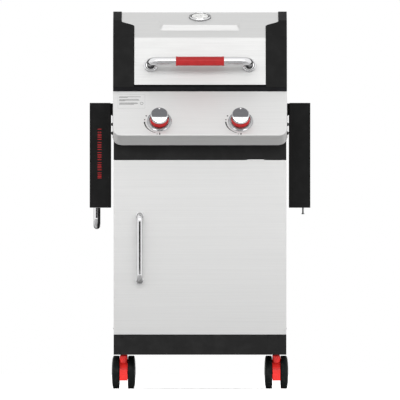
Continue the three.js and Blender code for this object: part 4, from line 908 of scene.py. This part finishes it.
def make_accent(place):
    """Ten groups of two or three short strokes."""
    GROUPS, PITCH, TOP, GAP = 10, 15.6 * MM, 71 * MM, 4.6 * MM
    LENGTH, THICK, CORNER, HEIGHT, EDGE = 12 * MM, 2 * MM, 0.6 * MM, 0.5 * MM, 0.15 * MM
    strokes = []
    for k in range(GROUPS):
        for row in (0, 1, 2) if k % 2 else (0, 2):
            spot = place @ at(0, TOP - PITCH * k + GAP * row, 0)
            strokes.append(slab(rectangle(LENGTH, THICK, CORNER), HEIGHT, spot, EDGE))
    publish("shelf_accent", joined(strokes), "shelf_left", "red_plastic")


def make_towel_bar():
    SPAN, REACH, BEND, TUBE = 230 * MM, 55.3 * MM, 26 * MM, 10 * MM
    centre = middle("towel_bar")
    place = at(centre.x, centre.y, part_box("towel_bar")[1].z) @ turned(180, "X") @ turned(90, "Z")
    remake("towel_bar", moved(sweep(u_path(SPAN, REACH, BEND), TUBE, 36), place))


# ---------- casters ----------
def make_wheels(corner):
    """Two wheels on one axle, each with a flat tread, a grooved shoulder and a domed outer face."""
    INNER, TREAD, AXLE = 13 * MM, 17.5 * MM, 5 * MM  # offset of the inner faces, tread's width, radius
    node = f"caster_wheels_{corner}"
    low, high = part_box(node)
    centre = (low + high) / 2
    width = (high.x - low.x) / 2 - INNER
    r = (high.z - low.z) / 2
    inside = in_mm((9, 0), (8, 1.2), (2, 0.6), (0, 2))  # in from the tread, out from the inner face
    shoulder = in_mm((0, 0), (0.8, 1.2), (2.6, 2.3), (3.2, 2.1), (3.8, 2.6))  # out from the tread's end
    dome = ((0.82, 0.92), (0.6, 0.97), (0.36, 0.99), (0.33, 0.965), (0.3, 1), (0, 1))  # shares
    wheel = [(0, INNER)] + [(r - depth, INNER + out) for depth, out in inside]
    wheel += [(r - depth, INNER + TREAD + out) for depth, out in shoulder]
    wheel += [(r * share, INNER + width * out) for share, out in dome]
    parts = [lathe(wheel, at(*centre) @ turned(90 * side, "Y"), 96, 0.9 * MM) for side in (-1, 1)]
    half = INNER + MM
    parts.append(lathe(disc(AXLE, 2 * half, -half), at(*centre) @ turned(90, "Y"), 32))
    remake(node, joined(parts))


# ---------- fastenings ----------
def make_fastenings():
    """Screws and bolts on the cart, one piece for each kind."""
    SCREW, BASE_SCREW, SIDE_SCREW, BOLT = 3.6 * MM, 2.8 * MM, 3.4 * MM, 4.2 * MM  # head radii
    SUNK, BRACKET_FACE = 1.4 * MM, 29.9 * MM
    base_low, base_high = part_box("base_pan")
    heads = []
    for x in (-240, -206, 206, 240):
        spot = at(x * MM, base_low.y, base_high.z - 6 * MM)
        heads.append(screw_head(BASE_SCREW, spot @ FACING_FRONT))
    low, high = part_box("rear_panel")
    for share in (-0.96, -0.32, 0.32, 0.96):
        for z in (low.z + 12 * MM, high.z - 12 * MM):
            heads.append(screw_head(SCREW, at(share * high.x, high.y, z) @ FACING_REAR))
    publish("panel_screws", joined(heads), "cart", "black_steel")
    heads = []
    low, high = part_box("side_panel_right")
    for side in (-1, 1):
        for y in (low.y + 11 * MM, high.y - 11 * MM):
            for z in (low.z + 20 * MM, high.z - 12 * MM):
                spot = at(side * (high.x - SUNK), y, z)
                heads.append(screw_head(SIDE_SCREW, spot @ facing_side(side)))
    publish("side_screws", joined(heads), "cart", "black_steel")
    heads = []
    for name, side in SIDES.items():
        low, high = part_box(f"shelf_bracket_{name}")
        face = max(abs(low.x), abs(high.x)) - BRACKET_FACE
        for y in (low.y + 30 * MM, high.y - 30 * MM):
            for z in (low.z + 15 * MM, low.z + 42 * MM):
                heads.append(hex_bolt(BOLT, at(side * face, y, z) @ facing_side(side)))
    publish("bracket_bolts", joined(heads), "cart", "black_steel")


# ---------- small parts inside ----------
def make_burner_ports():
    """Two rows of gas ports along the top of each burner tube, drawn as black discs: painted shade in place
    of the holes.
    """
    PORT, TALL, PITCH, LEAN, START, STOP = 1.2 * MM, 0.4 * MM, 14 * MM, 32, 48 * MM, 14 * MM
    for name in SIDES:
        low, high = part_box(f"burner_{name}")
        x, z = (low.x + high.x) / 2, (low.z + high.z) / 2
        radius = (high.z - low.z) / 2
        ports = []
        for k in range(int((high.y - low.y - START - STOP) / PITCH)):
            spot = at(x, low.y + START + PITCH * k, z)
            for lean in (-LEAN, LEAN):
                place = spot @ turned(lean, "Y") @ at(0, 0, radius - TALL / 2)
                ports.append(lathe(disc(PORT, TALL), place, 10))
        # The black discs are painted shade standing for the port holes.
        publish(f"burner_ports_{name}", joined(ports), "cart", material=BLACK_INK_AND_HOLE_SHADE)


def make_handle_nuts():
    """Nuts on the inner side of the lid and the door, behind the feet of their handles."""
    LID_NUT, DOOR_NUT, INSIDE = 5.5 * MM, 4 * MM, 1.3 * MM
    low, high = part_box("lid_handle")
    half = (high.x - low.x) / 2 - HANDLE_FOOT
    inside = at(0, 0, -INSIDE) @ turned(180, "X")
    nuts = [hex_bolt(LID_NUT, on_lid_front(s * half, HANDLE_HEIGHT) @ inside) for s in (-1, 1)]
    publish("lid_handle_nuts", joined(nuts), "lid", "zinc")
    low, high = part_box("door_handle")
    x, back = (low.x + high.x) / 2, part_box("door_liner")[1].y
    heights = (low.z + DOOR_FOOT, high.z - DOOR_FOOT)
    nuts = [hex_bolt(DOOR_NUT, at(x, back, z) @ FACING_REAR) for z in heights]
    publish("door_handle_nuts", joined(nuts), "door", "zinc")


# ---------- everything else: the CAD's own shapes, refined ----------
REFINED = {
    "base_pan": 1.0, "rear_panel": 0.4, "front_rail": 1.2, "side_panel_left": 0.8, "side_panel_right": 0.8,
    "door_pin_bottom": 0.3, "door_pin_top": 0.3, "firebox": 1.0, "grease_tray": 0.5, "door_liner": 0.3,
    "burner_left": 0.3, "burner_right": 0.3, "flame_tamer_left": 0.4, "flame_tamer_right": 0.4,
    "grate_left": 1.6, "grate_right": 1.6, "shelf_bracket_left": 0.6, "shelf_bracket_right": 0.6,
    "lid_hinge_left": 0.6, "lid_hinge_right": 0.6, "manifold": 0.4, "valve_left": 0.4, "valve_right": 0.4,
    "valve_stem_left": 0.3, "valve_stem_right": 0.3, "warming_rack": 1.2, "shelf_plate_left": 0.8,
    "shelf_plate_right": 0.8, "utensil_pegs": 0.3,
}  # mm of rounding


def make_refined():
    for node, edge in REFINED.items():
        refined(node, edge * MM)
    HOUSING_EDGE, BRAKE_EDGE, CORNER = 1.4 * MM, 1 * MM, 35
    for corner in CORNERS:
        refined(f"caster_housing_{corner}", HOUSING_EDGE, CORNER, 3, material=CASTER_RED)
    for corner in CORNERS[:2]:
        refined(f"caster_brake_{corner}", BRAKE_EDGE, CORNER, material=CASTER_RED)


# ---------- stage ----------
def make_camera():
    """A very long lens, level with the middle of the picture."""
    LENS, SENSOR, WIDTH, HEIGHT, PLANE = 1700, 36, 1.2285, 0.5798, -0.12
    data = bpy.data.cameras.new("camera")
    data.lens, data.sensor_width = LENS, SENSOR
    data.clip_start, data.clip_end = 1, 500
    camera = bpy.data.objects.new("camera", data)
    camera.location = (0, PLANE - WIDTH * LENS / SENSOR, HEIGHT)
    camera.rotation_euler = (math.pi / 2, 0, 0)
    bpy.context.scene.collection.objects.link(camera)
    bpy.context.scene.camera = camera


def make_light(name, place, size, power, aim):
    data = bpy.data.lights.new(name, "AREA")
    data.shape = "RECTANGLE"
    data.size, data.size_y = size
    data.energy = power
    light = bpy.data.objects.new(name, data)
    light.location = place
    light.rotation_euler = (Vector(aim) - Vector(place)).to_track_quat("-Z", "Y").to_euler()
    light.visible_camera = False
    bpy.context.scene.collection.objects.link(light)
    return light


def make_stage():
    """Pale round-cornered floor, white sky, a softbox in front and a low light on the floor at each side."""
    SIDE, THICK, GLOW, SOFTBOX, FILL = 9, 20 * MM, 0.45, 50, 36
    look = Look("pale_floor", (0.94, 0.94, 0.94), 0.0, 0.9, 0.1)
    look.bump(look.noise(60, 3), 0.2 * MM, 0.1)
    look.shader.inputs["Emission Color"].default_value = (1, 1, 1, 1)
    look.shader.inputs["Emission Strength"].default_value = GLOW
    stage_piece("floor", slab(rectangle(SIDE, SIDE, 2, 12), THICK, at(0, 0, -THICK), 4 * MM), look)
    world = bpy.data.worlds.new("studio")
    world.use_nodes = True
    background = world.node_tree.nodes["Background"]
    background.inputs["Color"].default_value = (1, 1, 1, 1)
    background.inputs["Strength"].default_value = 1.0
    bpy.context.scene.world = world
    bpy.context.scene.view_settings.view_transform = "Standard"
    make_light("front_softbox", (0, -4.2, 2.6), (5, 1.2), SOFTBOX, (0, 0, 1))
    for side in (-1, 1):
        fill = make_light("floor_fill", (side * 2.2, -0.4, 1.3), (2.4, 1.2), FILL, (side * 0.5, 0, 0))
        fill.visible_glossy = False
    make_flags()


def stage_piece(name, bm, look):
    """A piece of the studio: it is no part of the grill."""
    mesh = bpy.data.meshes.new(name)
    bm.to_mesh(mesh)
    bm.free()
    mesh.materials.append(look.material)
    made = bpy.data.objects.new(name, mesh)
    bpy.context.scene.collection.objects.link(made)
    return made


def make_card(name, size, place, look):
    """A card that only mirror-like surfaces see."""
    card = stage_piece(name, slab(rectangle(*size), 5 * MM, place), look)
    card.visible_camera = False
    card.visible_diffuse = False
    card.visible_shadow = False


def make_flags():
    """Dark cards in front of the grill, which bright tubes mirror as dark stripes, and grey ones on the
    floor, which shade the panel's skirt and the sides."""
    felt = Look("flag_felt", (0.02, 0.02, 0.02), 0.0, 0.9, 0.0)
    grey = Look("flag_grey", (0.28, 0.28, 0.28), 0.0, 0.9, 0.0)
    pale = Look("flag_pale", (0.42, 0.42, 0.42), 0.0, 0.9, 0.0)
    for look in (felt, grey, pale):
        look.bump(look.noise(400, 3), 0.2 * MM, 0.3)
    make_card("flag_far", (7.2, 0.4), at(0, -4.6, 0.5) @ FACING_REAR, felt)
    make_card("flag_near", (0.62, 0.19), at(0, -1.0, 1.055) @ FACING_REAR, felt)
    make_card("flag_floor", (3.4, 2.6), at(0, -1.35, 2 * MM), grey)
    make_card("flag_around", (8, 8), at(0, 0, -4 * MM), pale)


make_camera()
make_lid_skin()
for side_name, side_sign in SIDES.items():
    make_lid_cap(side_name, side_sign)
    make_knob(side_name, side_sign)
    for trim_end in ("front", "rear"):
        make_shelf_trim(side_name, trim_end)
make_lid_handle()
make_thermometer()
make_control_panel()
make_rating_plate()
make_door()
make_towel_bar()
for caster in CORNERS:
    make_wheels(caster)
make_refined()
make_burner_ports()
make_handle_nuts()
make_fastenings()
make_stage()
